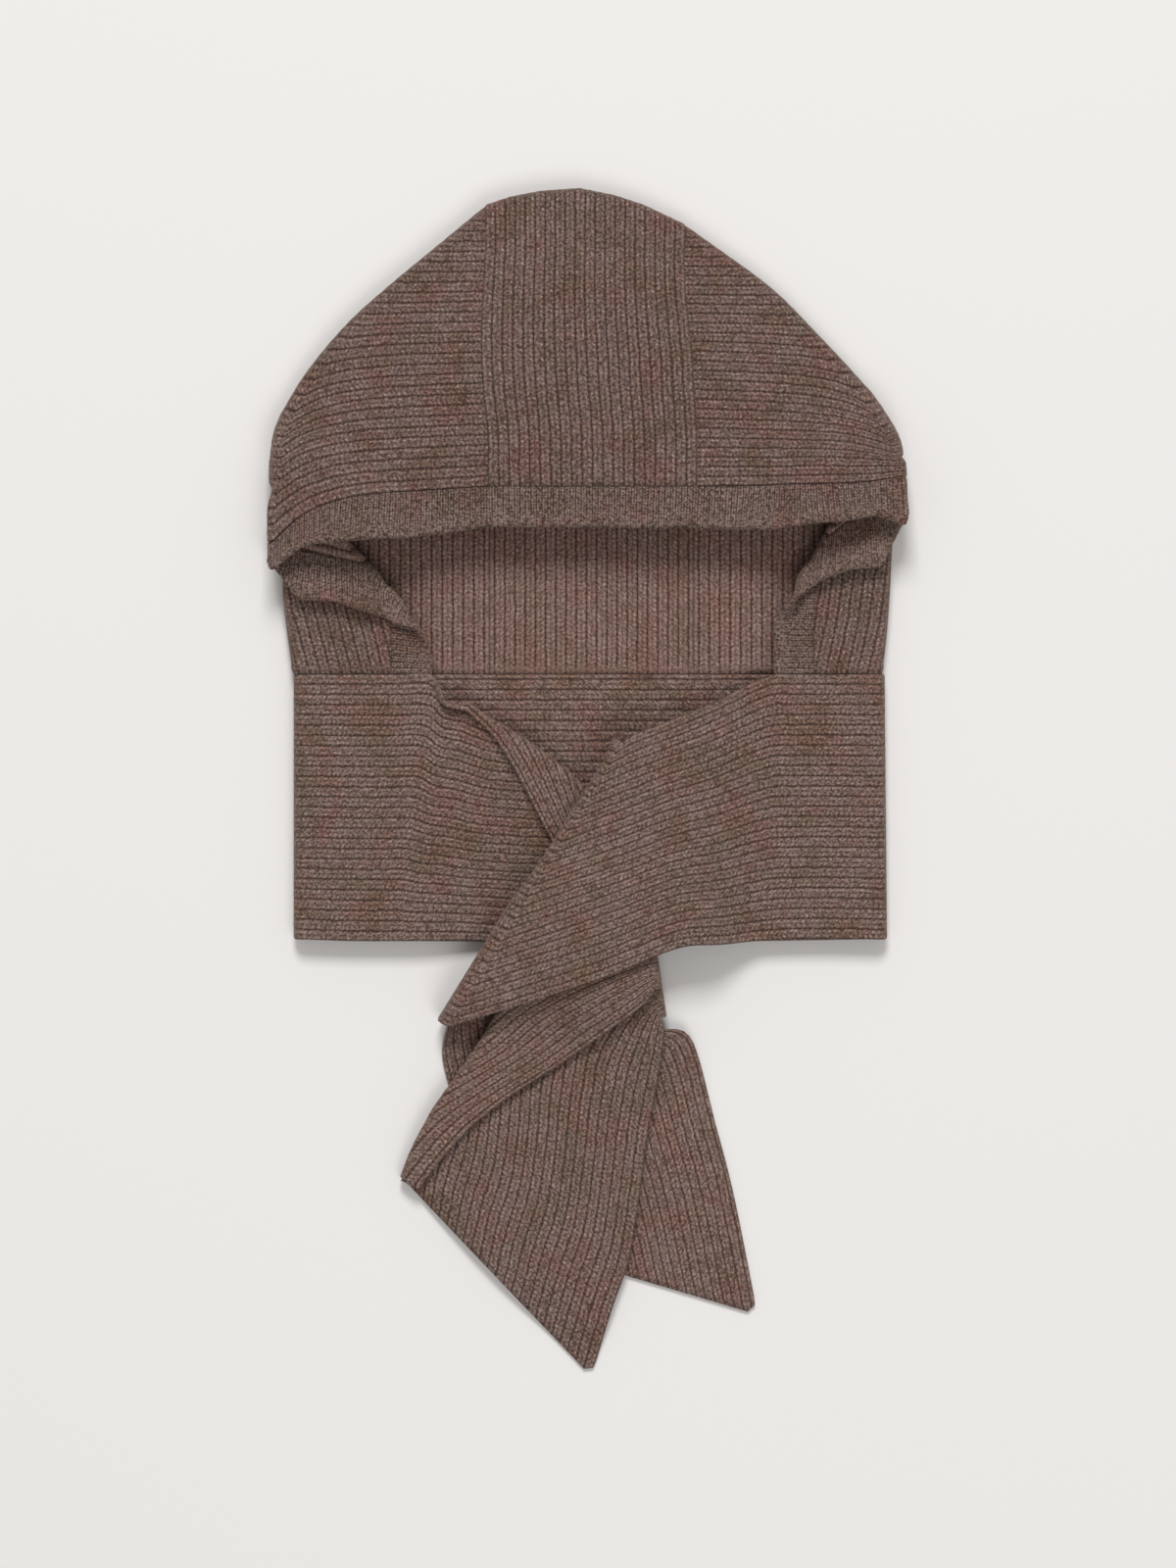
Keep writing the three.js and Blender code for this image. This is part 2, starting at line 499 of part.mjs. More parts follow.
function sidePoints(rows, cheekRows, inward) {
  const pleatStart = rows.findIndex((row) => row.at === 'pleat point');
  const result = [];
  for (let i = 0; i <= BAND_ROW; i += 1) {
    const u = i / ROW_STEPS;
    const lines = panelLines(rows, inward, u);
    const open = smoothstep(u, pleatStart, pleatStart + 1);
    const frontEnd = mix(lines.wall, lines.edge, open);
    const row = [];
    for (let j = 0; j < COL_EDGE; j += 1) {
      const f = j / FRONT_STEPS;
      const where = [lerp(lines.seam[0], frontEnd[0], f), lerp(lines.seam[1], frontEnd[1], bend(f))];
      row.push(onHood('crown', where));
    }
    for (let j = COL_EDGE; j <= COL_BACK; j += 1) {
      const wall = hoodTurn('crown', 'back', lines.wall, lines.outEdge, (j - COL_EDGE) / WALL_STEPS);
      row.push(mix(wall, pleatPoint(j, lines), open));
    }
    result.push([...row, ...backColumns(row[COL_BACK], lines.back)]);
  }

  const corner = panelLines(rows, inward, rows.length - 1);
  const sewn = [corner.roll, ...column(cheekRows, 'sewn')];
  const last = rows[rows.length - 1];
  const side = [place(last.side), ...column(cheekRows, 'side')];
  const back = [place(last.back), ...column(cheekRows, 'back')];
  for (let i = 1; i <= cheekRows.length * ROW_STEPS; i += 1) {
    const v = i / ROW_STEPS;
    const sideLine = move(along(side, v), corner.outSide, -WALL_INSET);
    const row = Array(COL_CHEEK).fill(null);
    for (let j = COL_CHEEK; j <= COL_SIDE; j += 1) {
      row.push(onHood('cheek', mix(along(sewn, v), sideLine, (j - COL_CHEEK) / CHEEK_STEPS)));
    }
    for (let j = COL_SIDE + 1; j <= COL_BACK; j += 1) {
      row.push(hoodTurn('cheek', 'back', sideLine, corner.outSide, (j - COL_SIDE) / FOLD_STEPS));
    }
    result.push([...row, ...backColumns(row[COL_BACK], along(back, v))]);
  }
  return result;
}

// Edge of a side panel along the centre panel: up the front, over the fold and down the back
const centreEdge = (panel) => [...backwards(panel.slice(0, BAND_ROW + 1).map((row) => row[0])),
  ...panel[0].slice(1), ...panel.slice(1).map((row) => row[COL_END])];

// How far the crown's fold line stands above the straight line between its ends
function crownRise(x) {
  const crown = CROWN_TOP.map(place);
  const [first, last] = [crown[0], crown[crown.length - 1]];
  const i = Math.max(1, Math.min(crown.length - 1, crown.findIndex(([cx]) => cx > x)));
  const f = (x - crown[i - 1][0]) / (crown[i][0] - crown[i - 1][0]);
  const chord = lerp(first[1], last[1], (x - first[0]) / (last[0] - first[0]));
  return lerp(crown[i - 1][1], crown[i][1], f) - chord;
}

function centrePoints(leftPanel, rightPanel) {
  const [left, right] = [centreEdge(leftPanel), centreEdge(rightPanel)];
  const fold = BAND_ROW + COL_EDGE;
  return left.map((start, i) => {
    const end = right[i];
    const j = i - BAND_ROW;
    const rise = THREE.MathUtils.clamp(Math.min(j / COL_EDGE, (COL_END - j) / BACK_STEPS), 0, 1);
    const [a, b] = j > COL_EDGE && j < COL_BACK ? [left[fold], right[fold]] : [start, end];
    const inner = Array.from({ length: CENTRE_STEPS - 1 }, (_, k) => {
      const [x, y] = mix(a, b, (k + 1) / CENTRE_STEPS);
      const where = [x, y + rise * crownRise(x)];
      if (j < COL_EDGE) return onHood('crown', where);
      if (j > COL_BACK) return onHood('back', where);
      return hoodTurn('crown', 'back', where, [0, 1], (j - COL_EDGE) / WALL_STEPS);
    });
    return [start, ...inner, end];
  });
}

// Evenly spaced points on a polyline
function resample(points, steps) {
  const lengths = points.slice(1).map((p, i) => Math.hypot(...p.map((v, k) => v - points[i][k])));
  const total = lengths.reduce((sum, v) => sum + v, 0);
  const inner = Array.from({ length: steps - 1 }, (_, k) => {
    let rest = total * (k + 1) / steps;
    let i = 0;
    while (rest > lengths[i]) {
      rest -= lengths[i];
      i += 1;
    }
    return mix(points[i], points[i + 1], rest / lengths[i]);
  });
  return [points[0], ...inner, points[points.length - 1]];
}

// Reach and turn of the band at a place along its seam, in millimetres
function bandAt(band, position) {
  const i = Math.max(1, band.findIndex((row) => row.along >= position));
  const f = (position - band[i - 1].along) / (band[i].along - band[i - 1].along);
  const reach = (key) => mix(band[i - 1][key], band[i][key], f).map((share) => share * BAND_WIDTH);
  return { roll: reach('roll'), free: reach('free'), turned: lerp(band[i - 1].turned, band[i].turned, f) };
}

// Straight line over one ply
const PATH_STEPS = 6;
const flatPath = (ply, from, to) => Array.from({ length: PATH_STEPS + 1 },
  (_, k) => onHood(ply, mix(from, to, k / PATH_STEPS)));

// Line across the band from its seam on the cheek: flat, with its edge standing, or folded over
function cheekPath(start, out, { roll, free, turned }) {
  const line = [start[0] + roll[0], start[1] + roll[1]];
  const end = [start[0] + free[0], start[1] + free[1]];
  if (turned === 0) return flatPath('cheek', start, end);
  const foot = flatPath('cheek', start, line);
  const flap = Math.hypot(end[0] - line[0], end[1] - line[1]);
  if (turned < 1) {
    const [x, y, z] = foot[PATH_STEPS];
    return [...foot, [x, y, z + Math.max(flap, BAND_WIDTH - Math.hypot(...roll))]];
  }
  const arc = Array.from({ length: FOLD_STEPS }, (_, n) => hoodTurn('cheek', 'lapel', line, out,
    (n + 1) / FOLD_STEPS));
  return [...foot, ...arc, ...flatPath('lapel', line, end).slice(1)];
}

// Lines across the band beside one side panel, from the brow to the neck seam
function bandSide(panel, rows, band, inward) {
  const row = panel[BAND_ROW];
  const { outEdge, outRoll } = panelLines(rows, inward, rows.length - 1);
  const placeOf = (point) => point.slice(0, 2);
  const freeEnd = (start, position) => {
    const { free } = bandAt(band, position);
    return [start[0] + free[0], start[1] + free[1]];
  };
  const crown = row.slice(0, COL_EDGE).map((point, j) => flatPath('crown', placeOf(point),
    freeEnd(placeOf(point), j / FRONT_STEPS)));
  const corner = placeOf(row[COL_EDGE]);
  const [above, below] = ['crown', 'lapel'].map((ply) => flatPath(ply, corner,
    freeEnd(corner, BAND_CORNER)));
  const fold = Array.from({ length: FOLD_STEPS + 1 }, (_, k) => above.map((p, i) => turn(p, below[i],
    outEdge, Math.PI * k / FOLD_STEPS)));
  const lapel = Array.from({ length: LAPEL_STEPS }, (_, k) => {
    const start = placeOf(row[COL_LAPEL + k + 1]);
    return flatPath('lapel', start, freeEnd(start, BAND_CORNER + LAPEL_SHARES[k + 1]));
  });
  const rollLine = placeOf(row[COL_ROLL]);
  const nextLine = placeOf(panel[BAND_ROW + 1][COL_CHEEK]);
  const roll = Array.from({ length: FOLD_STEPS }, (_, k) => {
    const share = (k + 1) / (FOLD_STEPS + 1);
    const start = mix(rollLine, nextLine, share);
    const position = BAND_ROLL + share / ROW_STEPS;
    const line = move(start, bandAt(band, position).roll, 1);
    const arc = Array.from({ length: k + 1 }, (_, n) => hoodTurn('lapel', 'cheek',
      mix(rollLine, line, n / (k + 1)), outRoll, (k + 1 - n) / FOLD_STEPS));
    return [...arc, ...flatPath('lapel', line, freeEnd(start, position))];
  });
  const starts = panel.slice(BAND_ROW).map((cheekRow) => placeOf(cheekRow[COL_CHEEK]));
  const reaches = starts.map((start, i) => bandAt(band, BAND_ROLL + i / ROW_STEPS));
  const folds = starts.map((start, i) => move(start, reaches[i].roll, 1));
  const cheek = starts.slice(1).map((start, i) => cheekPath(start, away(folds, i + 1, start),
    reaches[i + 1]));
  return [...crown, ...fold, ...lapel, ...roll, ...cheek];
}

function bandPoints(leftPanel, rightPanel, centre) {
  const left = bandSide(leftPanel, LEFT_ROWS, LEFT_BAND, 1);
  const right = bandSide(rightPanel, RIGHT_ROWS, RIGHT_BAND, -1);
  const middle = centre[0].slice(1, -1).map((point, j) => {
    const reach = mix(bandAt(LEFT_BAND, 0).free, bandAt(RIGHT_BAND, 0).free, (j + 1) / CENTRE_STEPS);
    return flatPath('crown', point.slice(0, 2), [point[0] + reach[0], point[1] + reach[1]]);
  });
  return [...backwards(left), ...middle, ...right].map((path) => resample(path, BAND_STEPS));
}

// Row of the strip where it is folded lengthwise between two plies. Its crease points straight up at
// the wrap round the other tail.
function foldedRow(rows, index, outer, inner) {
  const [hem, fold, top] = ['hem', 'fold', 'top'].map((name) => along(column(rows, name), index));
  const wrap = rows.findIndex((row) => row.at === 'wrap');
  const out = unit(mix([0, 1], away(column(rows, 'fold'), index, hem),
    smoothstep(Math.abs(index - wrap), 0, 1)));
  const line = move(fold, out, -CREASE_INSET);
  const row = [];
  for (let j = 0; j < STRIP_STEPS; j += 1) row.push(onStrip(outer, mix(hem, line, j / STRIP_STEPS)));
  for (let j = 0; j <= FOLD_STEPS; j += 1) {
    row.push(turn(onStrip(outer, line), onStrip(inner, line), out, Math.PI * j / FOLD_STEPS));
  }
  for (let j = 1; j <= FLAP_STEPS; j += 1) row.push(onStrip(inner, mix(line, top, j / FLAP_STEPS)));
  return row;
}

// Row of the strip where it lies flat. The last columns share the top edge that curls further on.
function flatRow(rows, index, ply, sewn = false) {
  const [hem, top] = ['hem', 'top'].map((name) => along(column(rows, name), index));
  const end = sewn ? [top[0], 0] : top;
  const line = mix(end, hem, EDGE_ROLL / Math.hypot(hem[0] - end[0], hem[1] - end[1]));
  const edgeSteps = FOLD_STEPS + FLAP_STEPS;
  const row = [];
  for (let j = 0; j < STRIP_STEPS; j += 1) row.push(onStrip(ply, mix(hem, line, j / STRIP_STEPS)));
  for (let j = 0; j <= edgeSteps; j += 1) row.push(onStrip(ply, mix(line, end, j / edgeSteps)));
  return row;
}

// Row where the free top edge of the strip stands up, half way into its curl
function standingRow(rows, index, ply) {
  const row = flatRow(rows, index, ply);
  const foot = row[STRIP_STEPS];
  const rise = EDGE_ROLL / (FOLD_STEPS + FLAP_STEPS);
  for (let j = 1; j <= FOLD_STEPS + FLAP_STEPS; j += 1) {
    row[STRIP_STEPS + j] = [foot[0], foot[1], foot[2] + rise * j];
  }
  return row;
}

// Rows of a half turn from one row to another over the same places
function turnRows(from, to, outward, steps, deepest) {
  return Array.from({ length: steps - 1 }, (_, k) => from.map((p, j) => turn(p, to[j], outward,
    Math.PI * (k + 1) / steps, deepest)));
}

const sampled = (rows, steps, make) => Array.from({ length: (rows.length - 1) * steps + 1 },
  (_, i) => make(i / steps));

const RIGHT_SEWN = RIGHT_COLLAR.findIndex((row) => row.at === 'open edge');

function stripPoints() {
  const tail = sampled(LEFT_TAIL, ROW_STEPS, (i) => foldedRow(LEFT_TAIL, i, 'left outer', 'left inner'));
  const behind = sampled(LEFT_FRONT, ROW_STEPS,
    (i) => foldedRow(LEFT_FRONT, i, 'left front', 'left roll'));
  const standing = standingRow(LEFT_COLLAR, 0, 'left front');
  const leftFront = LEFT_COLLAR.slice(1).map((row, i) => flatRow(LEFT_COLLAR, i + 1, 'left front', true));
  const back = sampled(BACK_COLLAR, 1, (i) => flatRow(BACK_COLLAR, i, 'back', true));
  const rightFront = sampled(RIGHT_COLLAR, ROW_STEPS,
    (i) => flatRow(RIGHT_COLLAR, i, 'right over', i <= RIGHT_SEWN));
  const under = sampled(RIGHT_TAIL, ROW_STEPS, (i) => flatRow(RIGHT_TAIL, i, 'right under'));
  const crease = RIGHT_TAIL[0];
  const [low, high] = [place(crease.hem), place(crease.top)];
  const creaseOut = unit([low[1] - high[1], high[0] - low[0]]);
  const sideSteps = FOLD_STEPS + 1;
  return [
    ...tail, ...turnRows(tail.at(-1), behind[0], [1, 0], sideSteps, Infinity), ...behind, standing,
    ...leftFront, ...turnRows(leftFront.at(-1), back[0], [-1, 0], sideSteps),
    ...back, ...turnRows(back.at(-1), rightFront[0], [1, 0], sideSteps),
    ...rightFront, ...turnRows(rightFront.at(-1), under[0], creaseOut, FOLD_STEPS), ...under,
  ];
}

// Knit finishes: the same heather wool, a little warmer where its reverse shows
const knit = (color) => new THREE.MeshStandardMaterial({ color, roughness: 0.95, metalness: 0 });

const leftPanel = sidePoints(LEFT_ROWS, LEFT_CHEEK, 1);
const rightPanel = sidePoints(RIGHT_ROWS, RIGHT_CHEEK, -1);
const centrePanel = centrePoints(leftPanel, rightPanel);
const pieces = [
  ['centre_panel', centrePanel, 0x68554e],
  ['side_panel_left', leftPanel, 0x6b5750],
  ['side_panel_right', rightPanel, 0x6c5952],
  ['face_band', bandPoints(leftPanel, rightPanel, centrePanel), 0x614e47],
  ['neck_scarf', stripPoints(), 0x6f5c55],
].map(([name, rows, color]) => ({ name, color, sheet: sheetOf(rows) }));
joinSheets(pieces.map((piece) => piece.sheet));

const hood = new THREE.Group();
for (const { name, color, sheet } of pieces) {
  const mesh = new THREE.Mesh(thicken(sheet, KNIT), knit(color));
  mesh.name = name;
  hood.add(mesh);
}

// The origin is under the middle of the whole object
const box = new THREE.Box3().setFromObject(hood);
const centre = box.getCenter(new THREE.Vector3());
hood.children.forEach((mesh) => mesh.position.set(-centre.x, -centre.y, -box.min.z));

export default hood;
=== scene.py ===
import math

import bpy
import numpy as np
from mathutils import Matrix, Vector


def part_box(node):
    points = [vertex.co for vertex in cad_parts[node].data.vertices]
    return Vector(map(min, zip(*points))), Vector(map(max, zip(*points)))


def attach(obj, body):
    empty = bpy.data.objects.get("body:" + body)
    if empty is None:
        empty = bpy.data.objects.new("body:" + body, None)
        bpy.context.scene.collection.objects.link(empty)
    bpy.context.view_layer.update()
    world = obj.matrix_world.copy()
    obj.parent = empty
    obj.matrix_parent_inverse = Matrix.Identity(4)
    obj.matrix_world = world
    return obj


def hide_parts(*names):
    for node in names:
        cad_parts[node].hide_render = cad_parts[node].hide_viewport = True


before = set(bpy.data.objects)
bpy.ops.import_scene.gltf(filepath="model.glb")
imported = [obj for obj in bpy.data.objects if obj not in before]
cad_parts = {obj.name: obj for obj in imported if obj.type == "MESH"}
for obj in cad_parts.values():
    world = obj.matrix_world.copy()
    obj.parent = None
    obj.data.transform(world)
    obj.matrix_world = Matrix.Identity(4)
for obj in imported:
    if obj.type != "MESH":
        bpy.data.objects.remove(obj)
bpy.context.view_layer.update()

# The view: a sheet of pale card under the hood and a long lens straight above it.
# The card is matt, and takes in 660 by 880 mm of the picture.
MM = 0.001
VIEW_HEIGHT = 0.88
LENS_MM = 180.0
SENSOR_MM = 36.0
CARD_SIZE = 6.0
CARD_DROP = 0.0003
CARD_HEX = "#e4e2e0"
CARD_GRAIN_MM = 1.5

camera_data = bpy.data.cameras.new("camera")
camera_data.lens = LENS_MM
camera_data.sensor_width = SENSOR_MM
camera_data.clip_end = 50.0
camera = bpy.data.objects.new("camera", camera_data)
camera.location = (0, 0, VIEW_HEIGHT * LENS_MM / SENSOR_MM)
bpy.context.scene.collection.objects.link(camera)
bpy.context.scene.camera = camera
bpy.context.scene.view_settings.view_transform = "Standard"


def linear(colour):
    """Linear red, green, blue and alpha of an sRGB hex colour."""
    shares = [int(colour[k:k + 2], 16) / 255 for k in (1, 3, 5)]
    return [c / 12.92 if c <= 0.04045 else ((c + 0.055) / 1.055) ** 2.4 for c in shares] + [1.0]


def node(tree, kind, settings=None, **inputs):
    """Adds a node with its settings. An input goes by its socket's name or number (i0, i1), and is given a
    value, a socket or a node, which stands for its first output."""
    made = tree.nodes.new(kind)
    for name, value in (settings or {}).items():
        setattr(made, name, value)
    for name, value in inputs.items():
        numbered = name[0] == "i" and name[1:].isdigit()
        socket = made.inputs[int(name[1:]) if numbered else name]
        if isinstance(value, bpy.types.Node):
            value = value.outputs[0]
        if isinstance(value, bpy.types.NodeSocket):
            tree.links.new(value, socket)
        else:
            socket.default_value = value
    return made


def matt_card():
    """Uncoated card: near white and matt, with no gloss and a faint tooth as wide as a paper's grain."""
    material = bpy.data.materials.new("uncoated_card")
    material.use_nodes = True
    tree = material.node_tree
    surface = tree.nodes["Principled BSDF"]
    surface.inputs["Base Color"].default_value = linear(CARD_HEX)
    surface.inputs["Roughness"].default_value = 0.9
    surface.inputs["Specular IOR Level"].default_value = 0.2
    where = node(tree, "ShaderNodeTexCoord")
    tooth = node(tree, "ShaderNodeTexNoise", Vector=where.outputs["Object"],
                 Scale=1 / (CARD_GRAIN_MM * MM), Detail=2.0)
    bump = node(tree, "ShaderNodeBump", Height=tooth.outputs["Fac"], Strength=0.05, Distance=0.0001)
    tree.links.new(bump.outputs["Normal"], surface.inputs["Normal"])
    return material


card_mesh = bpy.data.meshes.new("card")
card_corners = [(x * CARD_SIZE / 2, y * CARD_SIZE / 2, -CARD_DROP) for x, y in
                ((-1, -1), (1, -1), (1, 1), (-1, 1))]
card_mesh.from_pydata(card_corners, [], [(0, 1, 2, 3)])
card = bpy.data.objects.new("card", card_mesh)
card.data.materials.append(matt_card())
bpy.context.scene.collection.objects.link(card)

# The light: one broad soft box above the crown's end, a weaker one over the tails, and a bright room.
# Each row is name, place, size and power.
LIGHTS = [
    ("key_box", (-0.2, 3.9, 4.4), 1.9, 232.0),
    ("fill_box", (0.8, -2.6, 3.6), 2.4, 62.0),
]
ROOM_LIGHT, ROOM_HEX = 0.37, "#fffdfb"
for light_name, light_place, light_size, light_power in LIGHTS:
    light_data = bpy.data.lights.new(light_name, "AREA")
    light_data.size = light_size
    light_data.energy = light_power
    light = bpy.data.objects.new(light_name, light_data)
    light.location = light_place
    x, y, z = light_place
    light.rotation_euler = (math.atan2(math.hypot(x, y), z), 0, math.atan2(x, -y))
    bpy.context.scene.collection.objects.link(light)
world = bpy.data.worlds.new("room")
world.use_nodes = True
world.node_tree.nodes["Background"].inputs["Color"].default_value = linear(ROOM_HEX)
world.node_tree.nodes["Background"].inputs["Strength"].default_value = ROOM_LIGHT
bpy.context.scene.world = world

# The two side panels: ribbed knit, wool, 3 mm thick. Each runs from its seam with the centre panel round
# the outline of the flat hood to the seam at the back, and is pleated at the corner of the face opening.

# Sizes are millimetres. Every place in the tables is [across, up]: across is a share of the half width, and
# up is 1 at the crown, 0 at the neck seam, -1 at the collar's hem and -2 at the tip of the longer tail.
KNIT = 3.0  # thickness of the ribbed knit
PLY_GAP = 0.8  # air between plies that lie on each other
COLLAR_WIDTH = 333  # collar laid flat, side fold to side fold
COLLAR_HEIGHT = 150  # width of the strip, hem to neck seam
HOOD_WIDTH = 361  # hood laid flat, across the corners of the face opening
HOOD_HEIGHT = 272  # neck seam to the fold over the crown
TAIL_LENGTH = 243  # collar hem to the tip of the longer tail
BAND_WIDTH = 23.5  # face band, seam to free edge
INNER_AIR = 7  # air kept inside the hood and the collar
CROWN_LOFT = 14  # extra height of the crown over the air inside
LOFT_REACH = 62  # distance from the outline where the crown has its full height
FOLD_DEPTH = 6  # widest half round of a side fold, seen from above
COVER_MARGIN = 4  # a ply keeps its lift this far beyond the edge of the ply below
COVER_BRIDGE = 3.5  # and every further ply in the stack bridges that much more
COVER_RAMP = 16  # length over which the lowest ply then comes down
KNOT_PUFF = 2  # extra height of the ply over the knot
CREASE_LIFT = 1  # extra air in a lengthwise crease of the band or of the strip
CORNER_LIFT = 1.5  # extra air in the fold at the corners of the face opening
KNOT_CORE, KNOT_REACH = 42, 98  # radii round the knot: plies pressed together, and where that ends
KNOT_PRESS = 0.85  # share of the inner air that the knot presses out
LAYER = KNIT + PLY_GAP
HALF_KNIT = KNIT / 2
CREASE_INSET = (LAYER + CREASE_LIFT) / 2 + HALF_KNIT
CORNER_INSET = (LAYER + CORNER_LIFT) / 2 + HALF_KNIT
WALL_INSET = FOLD_DEPTH + HALF_KNIT
COLLAR_TOP_SHARE, HOOD_FULL_SHARE = 0.16, 0.27  # where the width grows from the collar's to the hood's

# Columns: seam, edge, roll, side, back. Rows run from the crown to the band.
LEFT_ROWS = [
    [(-0.323, 0.889), (-0.326, 0.966), (-0.302, 0.941), (-0.326, 0.966), (-0.32, 0.889)],
    [(-0.329, 0.818), (-0.625, 0.804), (-0.582, 0.792), (-0.625, 0.804), (-0.317, 0.788)],
    [(-0.335, 0.743), (-0.771, 0.715), (-0.729, 0.703), (-0.771, 0.715), (-0.314, 0.697)],
    [(-0.338, 0.667), (-0.896, 0.613), (-0.854, 0.605), (-0.896, 0.613), (-0.314, 0.602)],
    [(-0.332, 0.586), (-0.976, 0.517), (-0.93, 0.513), (-0.976, 0.517), (-0.314, 0.513)],
    [(-0.32, 0.509), (-0.997, 0.444), (-0.948, 0.442), (-0.994, 0.444), (-0.314, 0.44)],
    [(-0.317, 0.469), (-1.0, 0.4), (-0.936, 0.396), (-0.988, 0.396), (-0.314, 0.384)],
    [(-0.317, 0.424), (-1.003, 0.335), (-0.814, 0.319), (-0.966, 0.327), (-0.314, 0.311)],
    [(-0.314, 0.384), (-1.003, 0.271), (-0.703, 0.238), (-0.96, 0.251), (-0.319, 0.238)],
]
RIGHT_ROWS = [
    [(0.29, 0.857), (0.293, 0.927), (0.271, 0.909), (0.293, 0.927), (0.298, 0.857)],
    [(0.293, 0.792), (0.552, 0.804), (0.509, 0.792), (0.552, 0.804), (0.308, 0.788)],
    [(0.302, 0.727), (0.704, 0.705), (0.661, 0.693), (0.704, 0.705), (0.314, 0.691)],
    [(0.314, 0.655), (0.857, 0.595), (0.814, 0.587), (0.857, 0.595), (0.32, 0.586)],
    [(0.32, 0.582), (0.927, 0.529), (0.88, 0.525), (0.927, 0.529), (0.32, 0.52)],
    [(0.326, 0.525), (0.96, 0.489), (0.912, 0.487), (0.958, 0.489), (0.32, 0.484)],
    [(0.329, 0.481), (0.973, 0.457), (0.912, 0.449), (0.96, 0.449), (0.32, 0.444)],
    [(0.329, 0.432), (0.979, 0.432), (0.814, 0.38), (0.954, 0.384), (0.32, 0.37)],
    [(0.329, 0.384), (0.982, 0.406), (0.723, 0.293), (0.945, 0.293), (0.32, 0.285)],
]
PLEAT_ROW = 6  # the row where the pleat starts
# Columns: sewn to the band, side, back. Rows run from under the lapel to the neck seam.
LEFT_CHEEK = [
    [(-0.699, 0.178), (-1.04, 0.17), (-0.339, 0.17)],
    [(-0.673, 0.101), (-1.028, 0.091), (-0.34, 0.091)],
    [(-0.67, 0.0), (-1.008, 0.0), (-0.34, 0.0)],
]
RIGHT_CHEEK = [
    [(0.747, 0.202), (1.007, 0.182), (0.344, 0.182)],
    [(0.752, 0.101), (1.005, 0.091), (0.347, 0.091)],
    [(0.752, 0.0), (0.988, 0.0), (0.347, 0.0)],
]
CROWN_TOP = [(-0.338, 0.964), (-0.247, 0.984), (-0.155, 0.996), (-0.034, 1.002), (0.073, 0.988),
             (0.165, 0.968), (0.302, 0.925)]
# The band's place along its seam, its reach to the fold and to the free edge in band widths, and how far
# it is turned: 1 folded over, 0.5 with its free edge standing, 0 flat.
LEFT_BAND = [
    (0, (0, 0), (0.02, -0.98), 0), (0.36, (0, 0), (-0.05, -1.12), 0), (0.67, (0, 0), (-0.05, -1.05), 0),
    (0.88, (0, 0), (0.03, -0.78), 0), (1, (0, 0), (0.02, -0.75), 0), (1.33, (0, 0), (-0.12, -1.2), 0),
    (1.67, (0, 0), (0.03, -1.1), 0), (2, (0, 0), (0, -1.15), 1), (2.5, (0.06, -0.05), (0.05, -0.98), 1),
    (3, (0.22, -0.18), (0.14, -0.76), 1), (3.5, (0.33, -0.12), (0.22, -0.5), 1),
    (4, (0.66, -0.1), (0.76, -0.2), 0.5), (4.5, (0.96, -0.1), (0.96, -0.1), 0), (5, (0.98, 0), (0.98, 0), 0),
]
RIGHT_BAND = [
    (0, (0, 0), (-0.05, -1.0), 0), (0.36, (0, 0), (-0.1, -1.07), 0), (0.67, (0, 0), (0.1, -0.9), 0),
    (0.88, (0, 0), (0.02, -0.9), 0), (1, (0, 0), (0.05, -1.32), 0), (1.33, (0, 0), (0.1, -1.7), 0),
    (1.67, (0, 0), (-0.08, -1.3), 0), (2, (0, 0), (-0.05, -1.02), 1),
    (2.5, (-0.12, -0.02), (-0.16, -0.68), 1), (3, (-0.34, 0.01), (-0.34, -0.42), 1),
    (3.5, (-0.52, 0), (-0.7, 0), 0.5), (4, (-0.95, 0.02), (-0.95, 0.02), 0), (5, (-0.95, 0), (-0.95, 0), 0),
]
BAND_CORNER, BAND_ROLL = 1, 2  # places along the band: the corner of the opening, and the pleat's roll


def smooth(value, low, high):
    """Smooth step from 0 at low to 1 at high: three squares less two cubes of the share between them."""
    share = np.clip((value - low) / (high - low), 0, 1)
    return share * share * (3 - 2 * share)


def place(spots):
    """Millimetres of [across, up]: half the width times across, and each height share times its own size."""
    spots = np.asarray(spots, float)
    across, up = spots[..., 0], spots[..., 1]
    width = COLLAR_WIDTH + (HOOD_WIDTH - COLLAR_WIDTH) * smooth(up, COLLAR_TOP_SHARE, HOOD_FULL_SHARE)
    tail = np.minimum(up + 1, 0) * TAIL_LENGTH
    collar = np.clip(up, -1, 0) * COLLAR_HEIGHT
    return np.stack([across * width / 2, np.maximum(up, 0) * HOOD_HEIGHT + collar + tail], -1)


def along(points, index):
    """Catmull-Rom curve through points at fractional indices: a cubic between two points, with the slope at
    each the mean of its neighbours' leaps."""
    points, index = np.asarray(points, float), np.asarray(index, float)
    last = len(points) - 1
    i = np.minimum(index.astype(int), last - 1)
    f = (index - i).reshape(index.shape + (1,) * (points.ndim - 1))

    def slope(k):
        low, high = np.maximum(k - 1, 0), np.minimum(k + 1, last)
        return (points[high] - points[low]) / (high - low).reshape(f.shape)

    return (points[i] * (2 * f**3 - 3 * f**2 + 1) + slope(i) * (f**3 - 2 * f**2 + f)
            + points[i + 1] * (3 * f**2 - 2 * f**3) + slope(i + 1) * (f**3 - f**2))


def unit(vectors):
    """Vectors divided by their lengths."""
    return vectors / np.maximum(np.linalg.norm(vectors, axis=-1, keepdims=True), 1e-9)


def mix(a, b, share):
    """The point at a share of the way from a to b."""
    share = np.asarray(share, float)[..., None]
    return a * (1 - share) + b * share


SLOPE_STEP = 0.05  # share of a row on either side over which a curve's direction is taken


